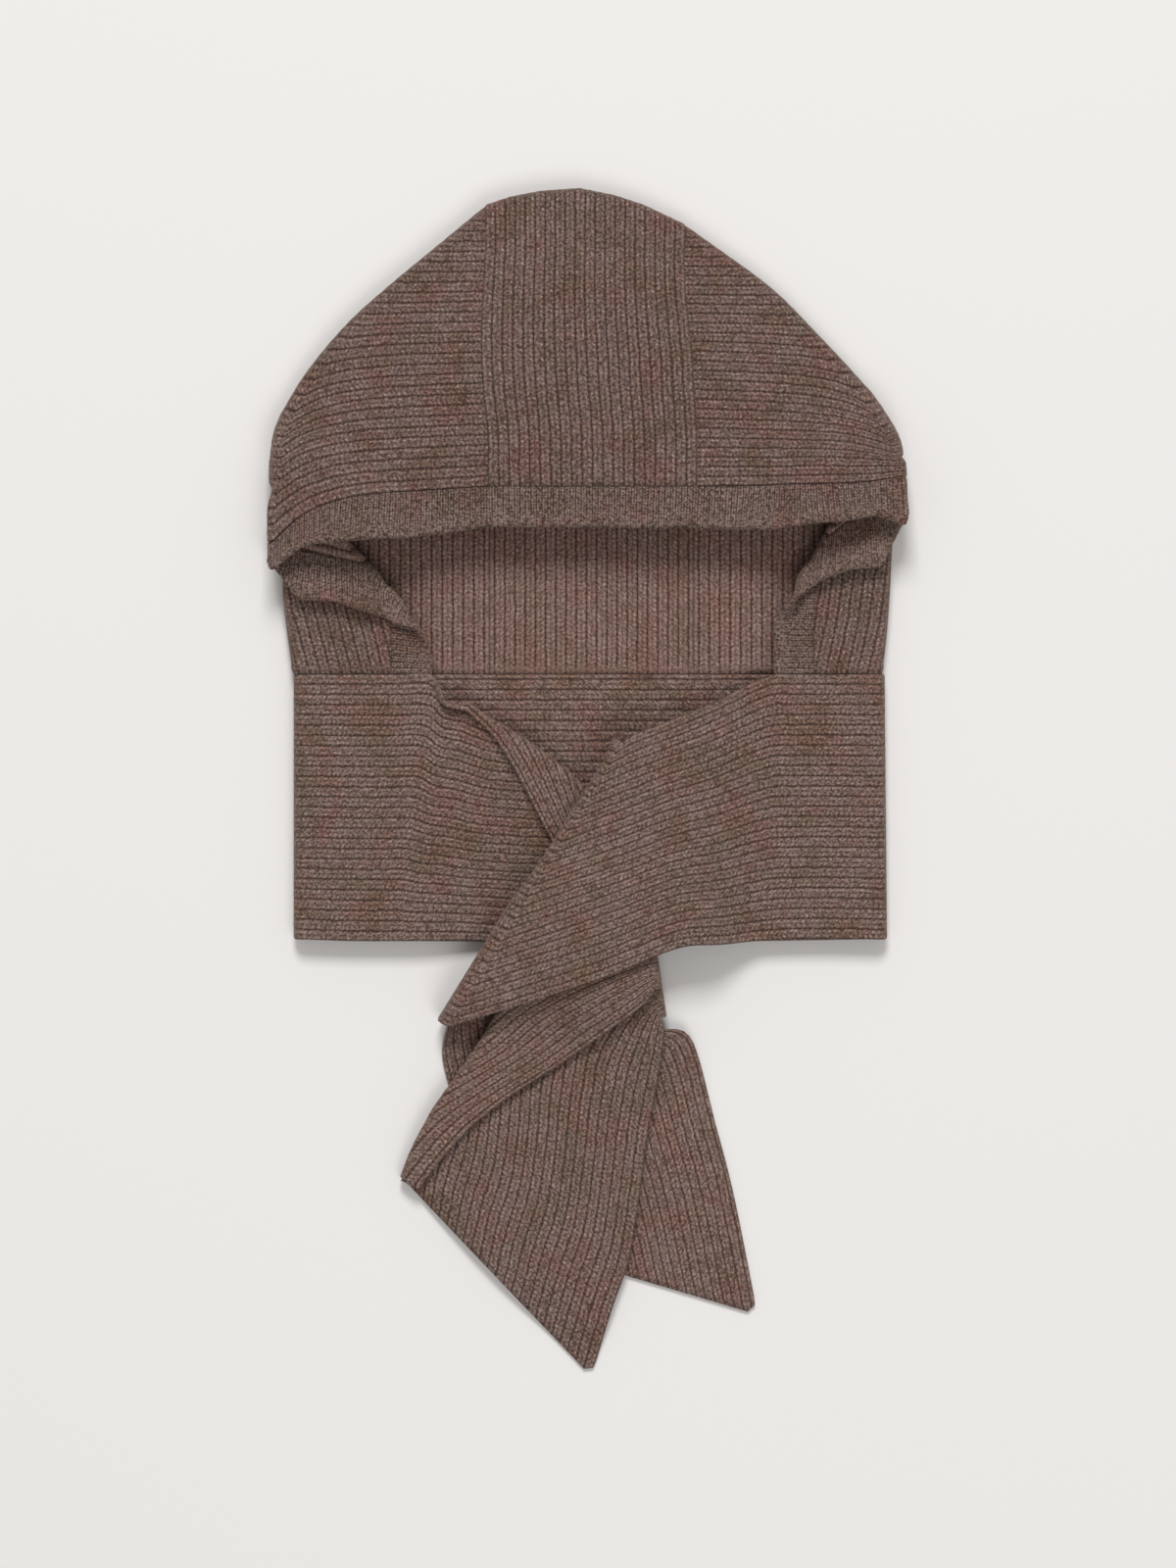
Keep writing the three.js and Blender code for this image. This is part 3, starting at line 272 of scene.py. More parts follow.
def away(points, index, beside):
    """Direction square to a curve in the plane, on the side away from the place beside it."""
    last = len(points) - 1
    ahead, behind = np.minimum(index + SLOPE_STEP, last), np.maximum(index - SLOPE_STEP, 0)
    run = along(points, ahead) - along(points, behind)
    square = unit(np.stack([run[..., 1], -run[..., 0]], -1))
    facing = np.sum(square * (along(points, index) - beside), -1, keepdims=True)
    return np.where(facing < 0, -square, square)


def turn(a, b, outward, angle, deepest=FOLD_DEPTH):
    """Half turn about the middle of a and b: the cosine of the angle along the line between them, and its
    sine times the depth outwards."""
    reach = (a - b) / 2
    angle = np.asarray(angle, float)[..., None]
    depth = np.minimum(np.linalg.norm(reach, axis=-1, keepdims=True), deepest) * np.sin(angle)
    bulge = np.zeros(np.broadcast_shapes(a.shape, depth.shape[:-1] + (3,), outward.shape[:-1] + (3,)))
    bulge[..., :2] = outward * depth
    return a - reach + reach * np.cos(angle) + bulge


def distance_outside(outline, spots):
    """Distance of places to a closed outline, positive outside: that to the nearest side, with its sign from
    a count of the sides crossed on the way to the right."""
    starts, ends = outline, np.roll(outline, -1, axis=0)
    run = ends - starts
    gap = spots[..., None, :] - starts
    share = np.clip(np.sum(gap * run, -1) / np.maximum(np.sum(run * run, -1), 1e-9), 0, 1)
    nearest = np.linalg.norm(gap - share[..., None] * run, axis=-1).min(-1)
    x, y = spots[..., None, 0], spots[..., None, 1]
    crosses = (starts[:, 1] > y) != (ends[:, 1] > y)
    rise = np.where(run[:, 1] == 0, 1.0, run[:, 1])
    inside = np.sum(crosses & (x < starts[:, 0] + (y - starts[:, 1]) * run[:, 0] / rise), -1) % 2 == 1
    return np.where(inside, -nearest, nearest)


def column(rows, k):
    """Places in column k of a table."""
    return place([row[k] for row in rows])


def band_at(band, position):
    """Reach to the fold and to the free edge, in millimetres, and the turn, at places along the seam."""
    marks, folds, frees, turns = zip(*band)
    fold, free = [np.stack([np.interp(position, marks, side) for side in zip(*reach)], -1) * BAND_WIDTH
                  for reach in (folds, frees)]
    return fold, free, np.interp(position, marks, turns)


def lapel_lines(rows, cheek, band):
    """The band's fold line and free edge, from the corner to where the band is rolled out flat."""
    seam = np.vstack([column(rows[-1:], 1), column(rows[-1:], 2), column(cheek, 0)])
    kept = [row for row in band if row[0] >= BAND_CORNER and (row[0] < BAND_ROLL or row[3] == 1)]
    starts = along(seam, [row[0] - BAND_CORNER for row in kept])
    return [starts + BAND_WIDTH * np.array([row[k] for row in kept]) for k in (1, 2)]


def corner_outlines(rows, cheek, band):
    """Outlines of the cheek and of the lapel beside one corner of the face opening."""
    fold, free = lapel_lines(rows, cheek, band)
    pleat = rows[PLEAT_ROW:]
    neck_end = column(cheek[-1:], 0) + np.array(band[-1][2]) * BAND_WIDTH
    under = [fold[::-1], column(pleat, 2)[::-1]]
    return (np.vstack([column(pleat, 3), column(cheek, 1), neck_end, *under]),
            np.vstack([column(pleat, 1), free, *under]))


silhouette = np.vstack([
    place([(-1, -1)]), column(LEFT_CHEEK, 1)[::-1], column(LEFT_ROWS, 1)[::-1], place(CROWN_TOP),
    column(RIGHT_ROWS, 1), column(RIGHT_CHEEK, 1), place([(1, -1)]),
])
left_corner = corner_outlines(LEFT_ROWS, LEFT_CHEEK, LEFT_BAND)
right_corner = corner_outlines(RIGHT_ROWS, RIGHT_CHEEK, RIGHT_BAND)
# A stack of plies, from the surface up: name, outlines, lift in its creases, loft and puff
HOOD_PLIES = [
    ("back", [silhouette], 0, 0, 0),
    ("cheek", [left_corner[0], right_corner[0]], 0, 0, 0),
    ("lapel", [left_corner[1], right_corner[1]], CREASE_LIFT, 0, 0),
    ("crown", [], CREASE_LIFT + CORNER_LIFT, CROWN_LOFT, 0),
]
KNOT_CENTRE = (-0.036, -0.876)


def cover(outlines, level, spots):
    """Share of its lift that a ply gives the ply at a level: 1 up to a margin outside its outline, then a
    smooth ramp to 0."""
    outside = np.min([distance_outside(outline, spots) for outline in outlines], axis=0)
    margin = COVER_MARGIN + COVER_BRIDGE * level
    return 1 - smooth(outside, margin, margin + COVER_RAMP + COVER_BRIDGE * level)


def on_ply(plies, name, spots):
    """Middle surface of a ply over some places: half the knit, a layer for each ply below, the lift in its
    creases, the air inside less what the knot presses out, and the ply's own loft and puff."""
    level = [ply[0] for ply in plies].index(name)
    if level == 0:
        return np.concatenate([spots, np.full(spots.shape[:-1] + (1,), HALF_KNIT)], -1)
    _, _, lift, loft, puff = plies[level]
    covers = np.array([cover(ply[1], level, spots) for ply in plies[:level]])
    stacked = covers[1:].max(0) if level > 1 else 0
    near_knot = 1 - smooth(np.linalg.norm(spots - place(KNOT_CENTRE), axis=-1), KNOT_CORE, KNOT_REACH)
    inset = -distance_outside(silhouette, spots)
    air = INNER_AIR * covers[0] * (1 - KNOT_PRESS * near_knot)
    height = HALF_KNIT + LAYER * covers.sum(0) + lift * stacked + air
    height = height + loft * smooth(inset, 0, LOFT_REACH) + puff * near_knot
    return np.concatenate([spots, height[..., None]], -1)


def on_hood(name, spots):
    """Middle surface of one of the hood's plies."""
    return on_ply(HOOD_PLIES, name, spots)


# Places of the panel's columns, from the seam with the centre panel to the seam at the back
COL_EDGE, COL_LAPEL, COL_ROLL, COL_CHEEK, COL_SIDE, COL_BACK, COL_END = 6, 9, 11, 14, 17, 20, 24
BEND_SHARE, BEND_POWER = 0.25, 6  # the rows run nearly level from the seam, and bend close to the outline
LAPEL_TURN = 0.33  # share of the lapel's width that its first column takes
FACE_MIDDLE = place((0, 0.3))
TO_CROWN = np.array([0.0, 1.0])
CHEEK_ROWS = len(LEFT_CHEEK)
BAND_ROW = len(LEFT_ROWS) - 1


def hood_turn(over, under, spots, outward, share):
    """Half turn between two of the hood's plies over the same places."""
    return turn(on_hood(over, spots), on_hood(under, spots), outward, math.pi * share)


def side_panel(rows, cheek, inward, u, w):
    """Middle surface of a side panel. u runs from the crown (0) by the band (8) to the neck seam (11), and w
    from the front seam by the outline's half turn, or the pleat's two, and the side fold to the back seam."""
    u, w = np.broadcast_arrays(np.asarray(u, float), np.asarray(w, float))
    top = np.minimum(u, BAND_ROW)
    seam, edge, roll, side, back = [along(column(rows, k), top) for k in range(5)]
    down = np.maximum(u - BAND_ROW, 0)
    pleat = column(rows[PLEAT_ROW:], 2)
    out_edge = unit(mix(TO_CROWN, away(column(rows, 1), top, FACE_MIDDLE), smooth(top, 0, 1)))
    out_roll = away(pleat, np.maximum(top - PLEAT_ROW, 0), side)
    out_side = np.array([-float(inward), 0.0])
    wall, corner = edge - out_edge * WALL_INSET, edge - out_edge * CORNER_INSET
    roll_line = roll - out_roll * CREASE_INSET
    sewn = np.vstack([roll_line[np.unravel_index(np.argmax(top), top.shape)][None], column(cheek, 0)])
    on_cheek = down[..., None] > 0
    roll_line = np.where(on_cheek, along(sewn, down), roll_line)
    side_down, back_down = [along(np.vstack([column(rows[-1:], k), column(cheek, k - 2)]), down)
                            for k in (3, 4)]
    side, back = np.where(on_cheek, side_down, side), np.where(on_cheek, back_down, back)
    side_line = side - out_side * WALL_INSET
    opened = smooth(top, PLEAT_ROW, PLEAT_ROW + 1)

    def part(low, high):
        return np.clip((w - low) / (high - low), 0, 1)

    front = part(0, COL_EDGE)
    front_end = mix(wall, corner, opened)
    bend = BEND_SHARE * front + (1 - BEND_SHARE) * front**BEND_POWER
    where = np.stack([seam[..., 0] + (front_end - seam)[..., 0] * front,
                      seam[..., 1] + (front_end - seam)[..., 1] * bend], -1)
    round_wall = hood_turn("crown", "back", wall, out_edge, part(COL_EDGE, COL_BACK))
    lapel_share = np.interp(w, [COL_LAPEL, COL_LAPEL + 1, COL_ROLL], [0, LAPEL_TURN, 1])
    pleated = np.select([(w <= end)[..., None] for end in (COL_LAPEL, COL_ROLL, COL_CHEEK, COL_SIDE)], [
        hood_turn("crown", "lapel", corner, out_edge, part(COL_EDGE, COL_LAPEL)),
        on_hood("lapel", mix(corner, roll_line, lapel_share)),
        hood_turn("lapel", "cheek", roll_line, out_roll, part(COL_ROLL, COL_CHEEK)),
        on_hood("cheek", mix(roll_line, side_line, part(COL_CHEEK, COL_SIDE))),
    ], hood_turn("cheek", "back", side_line, out_side, part(COL_SIDE, COL_BACK)))
    fold_end = np.where(on_cheek, side_line, mix(wall, side_line, opened))
    behind = on_hood("back", mix(fold_end, back, part(COL_BACK, COL_END)))
    return np.select([(w < COL_EDGE)[..., None], (w > COL_BACK)[..., None], on_cheek],
                     [on_hood("crown", where), behind, pleated],
                     round_wall * (1 - opened[..., None]) + pleated * opened[..., None])


def steps(*marks):
    """Places from mark to mark, each given as (place, number of even steps to the next one)."""
    runs = [np.linspace(a, b, count, endpoint=False) for (a, count), (b, _) in zip(marks, marks[1:])]
    return np.concatenate([*runs, [marks[-1][0]]])


def lengths(points, axis):
    """Running length along the grid's lines in one direction, in millimetres."""
    leaps = np.linalg.norm(np.diff(points, axis=axis), axis=-1)
    start = np.zeros_like(np.take(leaps, [0], axis=axis))
    return np.concatenate([start, np.nancumsum(leaps, axis=axis)], axis=axis)


RIB_HEIGHT = 0.3  # half the depth of the groove between two ribs, in mm
RIB_FULL = 3.6  # ribs closer together than this, in mm, are lower by the square of the share
FOLD_RIBS = 0.2  # share of that depth that is left where the knit is stretched round a fold
WALL_HALF = 1.05  # half the thickness of the knit between its ribs, in mm
RIM_ROUND = 1.6  # width over which an edge of the knit is rounded, in mm
RIM_FREE, RIM_SEWN = 0.3, 0.72  # share of the thickness left at the very edge, free or sewn
SEAM_PULL = 0.05  # an edge is drawn in this much, half the clearance of a seam, in mm
GROOVE_POWER = 2  # the higher, the narrower the groove between two ribs
FLAT_FROM, FLAT_TO = 0.15, 0.8  # upward share of the normal where a fold ends and where the ply lies flat
RIM_PASSES = 5  # rows of points over which the distance to the rim is carried
FAR = 99.0  # stands for a distance to the rim that doesn't matter, in mm
LEAST_LEAP, LEAST_RATE = 0.05, 0.02  # floors for a step in mm and for ribs per mm, against division by 0


def rib_profile(ribs):
    """Height of the ribs from -1 in a groove to 1: one less twice the squared cosine of the rib number."""
    return 1 - 2 * np.abs(np.cos(np.pi * ribs)) ** GROOVE_POWER


def rib_pitch(points, ribs):
    """Distance from rib to rib in mm: one over the steepest change of the rib number on the surface."""
    slopes = []
    for axis in (0, 1):
        leap = np.linalg.norm(np.diff(points, axis=axis), axis=-1)
        rate = np.nan_to_num(np.abs(np.diff(ribs, axis=axis)) / np.maximum(leap, LEAST_LEAP))
        ahead = np.concatenate([rate, np.take(rate, [-1], axis=axis)], axis=axis)
        behind = np.concatenate([np.take(rate, [0], axis=axis), rate], axis=axis)
        slopes.append(np.maximum(ahead, behind))
    return 1 / np.maximum(np.hypot(*slopes), LEAST_RATE)


def shifted(values, rows, columns, fill):
    """The grid moved by some rows and columns, with a fill value where nothing comes in."""
    moved = np.full_like(values, fill)
    source, target = [tuple(slice(max(0, sign * k), size - max(0, -sign * k))
                            for k, size in zip((rows, columns), values.shape)) for sign in (-1, 1)]
    moved[target] = values[source]
    return moved


def knit_mesh(name, points, ribs, stitches, rim_left, bulk=0.0):
    """Closed sheet of ribbed knit round a grid of points in mm, with not-a-number where there is no cloth.
    Each face stands off the middle surface by half the wall and its ribs, the two faces' ribs half a rib
    apart, and both draw together over a round rim. The point attribute knit holds the rib number, the
    stitch number and how plain the pattern is, which is negative on the reverse."""
    there = np.isfinite(points[..., 0])
    cells = there[1:, 1:] & there[1:, :-1] & there[:-1, 1:] & there[:-1, :-1]
    a, b, c, d = points[:-1, :-1], points[1:, :-1], points[1:, 1:], points[:-1, 1:]
    facing = unit(np.cross(c - a, d - b))
    facing[~cells] = 0
    normals = np.zeros_like(points)
    around = np.zeros(there.shape, int)
    for rows, columns in ((0, 0), (1, 0), (0, 1), (1, 1)):
        window = (slice(rows, rows + cells.shape[0]), slice(columns, columns + cells.shape[1]))
        normals[window] += facing
        around[window] += cells
    normals = unit(normals)
    there = around > 0
    rim = there & (around < 4)

    solid = np.nan_to_num(points)
    reach = np.where(rim, 0.0, FAR)
    moves = ((1, 0), (-1, 0), (0, 1), (0, -1))
    ways = [np.stack([shifted(solid[..., k], *move, 0.0) for k in range(3)], -1) - solid for move in moves]
    for _ in range(RIM_PASSES):
        for move, way in zip(moves, ways):
            near = shifted(np.where(there, reach, FAR), *move, FAR)
            reach = np.minimum(reach, near + np.linalg.norm(way, axis=-1))
    pulled = solid.copy()
    for move, way in zip(moves, ways):
        inside = shifted(there & ~rim, *move, False) & rim
        pulled = np.where(inside[..., None], solid + unit(way) * SEAM_PULL, pulled)
    share = np.clip(reach / RIM_ROUND, 0, 1)
    rounding = rim_left + (1 - rim_left) * np.sqrt(1 - (1 - share) ** 2)
    level = FOLD_RIBS + (1 - FOLD_RIBS) * smooth(np.abs(normals[..., 2]), FLAT_FROM, FLAT_TO)
    level = level * (1 - bulk)
    height = RIB_HEIGHT * level * share * np.minimum(rib_pitch(points, ribs) / RIB_FULL, 1) ** 2
    front, reverse = [(WALL_HALF + bulk) * rounding + height * rib_profile(rib) for rib in (ribs, ribs + 0.5)]

    numbers = np.full(there.shape, -1)
    numbers[there] = np.arange(there.sum())
    count = int(there.sum())
    verts = np.concatenate([(pulled + normals * front[..., None])[there],
                            (pulled - normals * reverse[..., None])[there]])
    verts[:, :2] += to_frame
    verts[:, 2] = np.maximum(verts[:, 2], 0.0)
    over = np.stack([corner[cells] for corner in
                     (numbers[:-1, :-1], numbers[1:, :-1], numbers[1:, 1:], numbers[:-1, 1:])], -1)
    sides = np.concatenate([over[:, [k, (k + 1) % 4]] for k in range(4)])
    keys = sides[:, 0].astype(np.int64) * count + sides[:, 1]
    opposite = sides[:, 1].astype(np.int64) * count + sides[:, 0]
    edge = sides[~np.isin(keys, opposite)]
    walls = np.stack([edge[:, 1], edge[:, 0], edge[:, 0] + count, edge[:, 1] + count], -1)
    faces = np.concatenate([over, (over + count)[:, ::-1], walls])
    mesh = bpy.data.meshes.new(name)
    mesh.vertices.add(len(verts))
    mesh.vertices.foreach_set("co", (verts * MM).astype(np.float32).ravel())
    mesh.loops.add(faces.size)
    mesh.loops.foreach_set("vertex_index", faces.astype(np.int32).ravel())
    mesh.polygons.add(len(faces))
    mesh.polygons.foreach_set("loop_start", np.arange(0, faces.size, 4, dtype=np.int32))
    mesh.polygons.foreach_set("use_smooth", np.ones(len(faces), bool))
    mesh.update(calc_edges=True)
    mesh.validate()
    pattern = np.zeros((len(verts), 3), np.float32)
    pattern[:count, 0], pattern[count:, 0] = ribs[there], ribs[there] + 0.5
    pattern[:, 1] = np.tile(stitches[there], 2)
    pattern[:count, 2], pattern[count:, 2] = level[there], -level[there]
    attribute = mesh.attributes.new("knit", "FLOAT_VECTOR", "POINT")
    attribute.data.foreach_set("vector", pattern.ravel())
    piece = bpy.data.objects.new(name, mesh)
    bpy.context.scene.collection.objects.link(piece)
    return piece


# Colours that the wools share: two tints of the dye, the red fibres, the painted highlight on a loop's
# tip, and the fuzz
WARM_TINT, COOL_TINT, RED_FIBRE, PAINTED_GLINT, FUZZ = "#feebe6", "#ebeee0", "#f4cfc6", "#c9b8ac", "#d9c7bb"
# Patterns of the yarn: width in mm, and the noise's detail and roughness. A wool fibre is 0.02 mm thick, too
# fine to show, so the finest pattern is drawn at 0.45 mm, as wide as a tuft of them.
YARN = {
    "tufts": (0.45, 3.0, 0.7), "curls": (1.1, 2.0, 0.6), "heather": (1.5, 4.0, 0.8),
    # The 1.8 mm noise picks the loops with a painted highlight; the 3 mm one makes painted shade uneven.
    "tips": (1.8, 2.0, 0.5), "red fibres": (2.6, 3.0, 0.7), "pin holes": (3.0, 2.0, 0.5),
    "slack": (5.0, 2.0, 0.5), "dye": (22.0, 2.0, 0.6),
}
LOOP_DEPTH = 0.13  # depth of the loops' relief, as a share of a stitch
# How rib and stitch numbers become loops, painted shade and a painted highlight: a name, what is done,
# and its terms, each a number or an earlier name. A SMOOTHSTEP takes a value from a low and a high end
# to 0 and 1, or to two ends of its own.
LOOP_STEPS = [
    ("slack across", "SUBTRACT", "slack red", 0.5),
    ("rib", "MULTIPLY_ADD", "slack across", 0.22, "rib number"),
    ("slack along", "SUBTRACT", "slack green", 0.5),
    ("row", "MULTIPLY_ADD", "slack along", 0.7, "stitch number"),
    ("share of rib", "FRACT", "rib"),
    ("from middle", "SUBTRACT", "share of rib", 0.5),
    ("distance", "ABSOLUTE", "from middle"),
    ("off middle", "MULTIPLY", "distance", 2.0),
    ("slant", "MULTIPLY_ADD", "off middle", 0.55, "row"),
    ("share of loop", "FRACT", "slant"),
    ("half turn", "MULTIPLY", "share of loop", math.pi),
    ("loop", "SINE", "half turn"),
    ("inner side", "MULTIPLY_ADD", "off middle", "rise", "centre"),
    ("outer side", "MULTIPLY_ADD", "off middle", -2.0, 2.0),
    ("leg", "MINIMUM", "inner side", "outer side"),
    ("round leg", "POWER", "leg", 0.7),
    ("round loop", "POWER", "loop", 0.7),
    ("plain", "ABSOLUTE", "side"),
    ("loop height", "MULTIPLY_ADD", "round loop", 0.6, 0.4),
    ("knitted", "MULTIPLY", "round leg", "loop height"),
    ("over mean", "SUBTRACT", "knitted", 0.6),
    ("relief", "MULTIPLY_ADD", "over mean", "plain", 0.6),
    ("curl", "SUBTRACT", "curls", 0.5),
    ("curled", "MULTIPLY_ADD", "curl", 0.5, "relief"),
    ("tuft", "SUBTRACT", "tufts", 0.5),
    ("height", "MULTIPLY_ADD", "tuft", 0.9, "curled"),
    ("light fibres", "SMOOTHSTEP", "heather", 0.4, 0.6),
    ("warm", "SMOOTHSTEP", "dye red", 0.45, 0.66),
    ("cool", "SMOOTHSTEP", "dye green", 0.45, 0.66),
    ("red", "SMOOTHSTEP", "red fibres", 0.54, 0.66, 0.0, 0.45),
    ("facing", "SMOOTHSTEP", "side", -0.2, 0.2),
    # Painted shade: depth darkens the colour where the knit's relief is low, in its recesses.
    ("depth", "SMOOTHSTEP", "relief", -0.2, 0.75),
    # Painted shade in the holes between the loops, made uneven by noise, and in the grooves between ribs.
    ("pin hole", "SMOOTHSTEP", "pin holes", 0.35, 0.65, 0.7, 1.3),
    ("between loops", "MULTIPLY_ADD", "round loop", -0.8, "pin hole"),
    ("dark", "MULTIPLY", "between loops", "plain"),
    ("between ribs", "SMOOTHSTEP", "off middle", 0.6, 1.0, 0.0, 0.42),
    ("groove", "MULTIPLY", "between ribs", "dark"),
    ("shade", "SUBTRACT", "depth", "groove"),
    # Painted highlight: the tips of the highest loops, picked by noise, are lightened.
    ("tip", "SMOOTHSTEP", "relief", 0.7, 1.0),
    ("tip fibres", "SMOOTHSTEP", "tips", 0.5, 0.66, 0.0, 0.6),
    ("glint", "MULTIPLY", "tip", "tip fibres"),
]


def wool(name, colours, stitch_mm, centre=0.22, seed=0.0):
    """Heather wool yarn, spun from dyed fibres and knitted in ribs: matt, fuzzy, and flecked loop by loop.
    The knit attribute counts ribs and stitches: each rib has two legs of slanted loops, and noise gives the
    blended fibres. Painted shade darkens the grooves, the holes between the loops and the knit's recesses,
    and a painted highlight lightens the tips of the highest loops. centre is the height of the line between
    the legs."""
    dark, mid, light, reverse = [linear(colour) for colour in colours]
    material = bpy.data.materials.new(name)
    material.use_nodes = True
    tree = material.node_tree
    surface = tree.nodes["Principled BSDF"]
    where = node(tree, "ShaderNodeTexCoord").outputs["Object"]
    spot = node(tree, "ShaderNodeVectorMath", {"operation": "ADD"}, i0=where, i1=(seed, seed, 0))
    knit = node(tree, "ShaderNodeAttribute", {"attribute_name": "knit"}).outputs["Vector"]
    terms = {"centre": centre, "rise": 2 * (1 - centre)}
    counts = node(tree, "ShaderNodeSeparateXYZ", Vector=knit).outputs
    terms.update(zip(("rib number", "stitch number", "side"), counts))
    for pattern, (size_mm, detail, rough) in YARN.items():
        noise = node(tree, "ShaderNodeTexNoise", Vector=spot, Scale=1 / (size_mm * MM), Detail=detail,
                     Roughness=rough)
        terms[pattern] = noise.outputs["Fac"]
        if pattern in ("slack", "dye"):
            parts = node(tree, "ShaderNodeSeparateXYZ", Vector=noise.outputs["Color"]).outputs
            terms.update(zip((f"{pattern} red", f"{pattern} green"), parts))
    for step, operation, *given in LOOP_STEPS:
        ranged = operation == "SMOOTHSTEP"
        kind, setting = ("MapRange", "interpolation_type") if ranged else ("Math", "operation")
        sockets = {f"i{k}": terms.get(term, term) for k, term in enumerate(given)}
        terms[step] = node(tree, "ShaderNode" + kind, {setting: operation}, **sockets)
    depth = LOOP_DEPTH * stitch_mm * MM
    bump = node(tree, "ShaderNodeBump", Height=terms["height"], Strength=0.9, Distance=depth)
    tree.links.new(bump.outputs["Normal"], surface.inputs["Normal"])

    over, tinting, adding = [{"data_type": "RGBA", "blend_type": way}
                             for way in ("MIX", "MULTIPLY", "SCREEN")]
    base = node(tree, "ShaderNodeMix", over, i0=terms["light fibres"], i6=mid, i7=light).outputs[2]
    for share, tint in (("warm", WARM_TINT), ("cool", COOL_TINT), ("red", RED_FIBRE)):
        base = node(tree, "ShaderNodeMix", tinting, i0=terms[share], i6=base, i7=linear(tint)).outputs[2]
    # Painted light: the screen blend lightens every reverse face, which lifts the shaded inside of the hood.
    behind = node(tree, "ShaderNodeMix", adding, i0=1.0, i6=base, i7=reverse).outputs[2]
    base = node(tree, "ShaderNodeMix", over, i0=terms["facing"], i6=behind, i7=base).outputs[2]
    # Painted shade: the dark colour is mixed in where depth and the grooves call for it.
    shaded = node(tree, "ShaderNodeMix", over, i0=terms["shade"], i6=dark, i7=base).outputs[2]
    # Painted highlight on the loops' tips.
    colour = node(tree, "ShaderNodeMix", over, i0=terms["glint"], i6=shaded, i7=linear(PAINTED_GLINT)).outputs[2]
    tree.links.new(colour, surface.inputs["Base Color"])
    for socket, value in (("Roughness", 0.92), ("Specular IOR Level", 0.18), ("Sheen Weight", 0.25),
                          ("Sheen Roughness", 0.5), ("Sheen Tint", linear(FUZZ))):
        surface.inputs[socket].default_value = value
    return material


def hand_over(piece, material, cad_node):
    """Gives a piece its wool, hangs it under the root body, and hides the part of the frame that it stands
    for.
    """
    piece.data.materials.append(material)
    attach(piece, "root")
    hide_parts(cad_node)


SIDE_RIBS = 24  # ribs down the front seam of a side panel
SIDE_ROWS = 180  # rows of points from the crown to the band
CHEEK_STEPS = 24  # rows of points from there to the neck seam
FRONT_STEPS = 40  # columns of points from the front seam to the outline
SEAM_SAMPLES = 200  # places at which the length of a seam is taken
LEVEL_ROWS = (1.0, 5.0)  # the ribs are level above the first of these rows, and follow them from the second
WELT_BULK, WELT_WIDTH = 0.7, 4.2  # welt that the neck seam leaves on the panels, in mm
SIDE_PITCH = 5.9  # ribs on the back and the cheek, in mm
STITCH = 2.7  # height of a stitch, in mm
SIDE_AREAS = (0.0453, 0.0396)
# Colours of each wool: the painted shade in grooves, holes between loops and recesses, the yarn from mid
# to light, and what the reverse adds, painted light that lifts the shaded inside
PANEL_WOOL = ("#35251f", "#4b3933", "#8d7871", "#4b3531")


def neck_welt(points):
    """Extra half thickness of the seam allowance along the neck seam: a sine bump over its width."""
    return WELT_BULK * np.sin(np.pi * np.clip(np.nan_to_num(points[..., 1]) / WELT_WIDTH, 0, 1))


def panel_grid(rows, cheek, inward):
    """Points, rib numbers and stitch numbers of a side panel. In front the ribs are level near the crown and
    follow the rows near the band. From the middle of the side fold on they run down to the neck."""
    spread = np.linspace(0, BAND_ROW, SEAM_SAMPLES)
    seam, fold = [lengths(side_panel(rows, cheek, inward, spread, w), 0) for w in (0, COL_EDGE)]
    run = seam + fold
    u_top = np.interp(np.linspace(0, run[-1], SIDE_ROWS + 1), run, spread)
    u = np.concatenate([u_top, BAND_ROW + np.linspace(0, CHEEK_ROWS, CHEEK_STEPS + 1)[1:]])[:, None]
    w = steps((0, FRONT_STEPS), (COL_EDGE, 8), (COL_LAPEL, 12), (COL_ROLL, 8), (COL_CHEEK, 36), (COL_SIDE, 8),
              (COL_BACK, 80), (COL_END, 0))[None, :]
    points = side_panel(rows, cheek, inward, u, w)
    points[(u > BAND_ROW) & (w < COL_CHEEK)] = np.nan
    across = lengths(points, 1)
    edge = FRONT_STEPS
    reach = np.abs(points[:, :edge + 1, 0] - points[:, :1, 0])
    reach = np.concatenate([reach, reach[:, -1:] + across[:, edge + 1:] - across[:, edge:edge + 1]], 1)
    seam_height = points[0, 0, 1] - points[len(u_top) - 1, 0, 1]
    level = (points[0, 0, 1] - points[..., 1]) / seam_height * SIDE_RIBS
    number = np.interp(u, spread, seam / seam[-1] * SIDE_RIBS)
    follow = smooth(u, *LEVEL_ROWS)
    behind = w >= COL_CHEEK
    ribs = np.where(behind, (across[:, -1:] - across) / SIDE_PITCH, level + (number - level) * follow)
    front = reach + (across - reach) * follow
    stitches = np.where(behind, points[..., 1], front) / STITCH
    return points, np.nan_to_num(ribs), np.nan_to_num(stitches)


left_panel = panel_grid(LEFT_ROWS, LEFT_CHEEK, 1)
right_panel = panel_grid(RIGHT_ROWS, RIGHT_CHEEK, -1)
both = np.concatenate([left_panel[0].reshape(-1, 3), right_panel[0].reshape(-1, 3)])
both_low, both_high = np.nanmin(both, 0)[:2], np.nanmax(both, 0)[:2]
cad_panels = [np.array(corner)[:2] / MM for name in ("side_panel_left", "side_panel_right")
              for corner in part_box(name)]
# knit_mesh moves every piece by this much, in mm, which lays the two panels over the frame's own
to_frame = (np.min(cad_panels, 0) + np.max(cad_panels, 0)) / 2 - (both_low + both_high) / 2
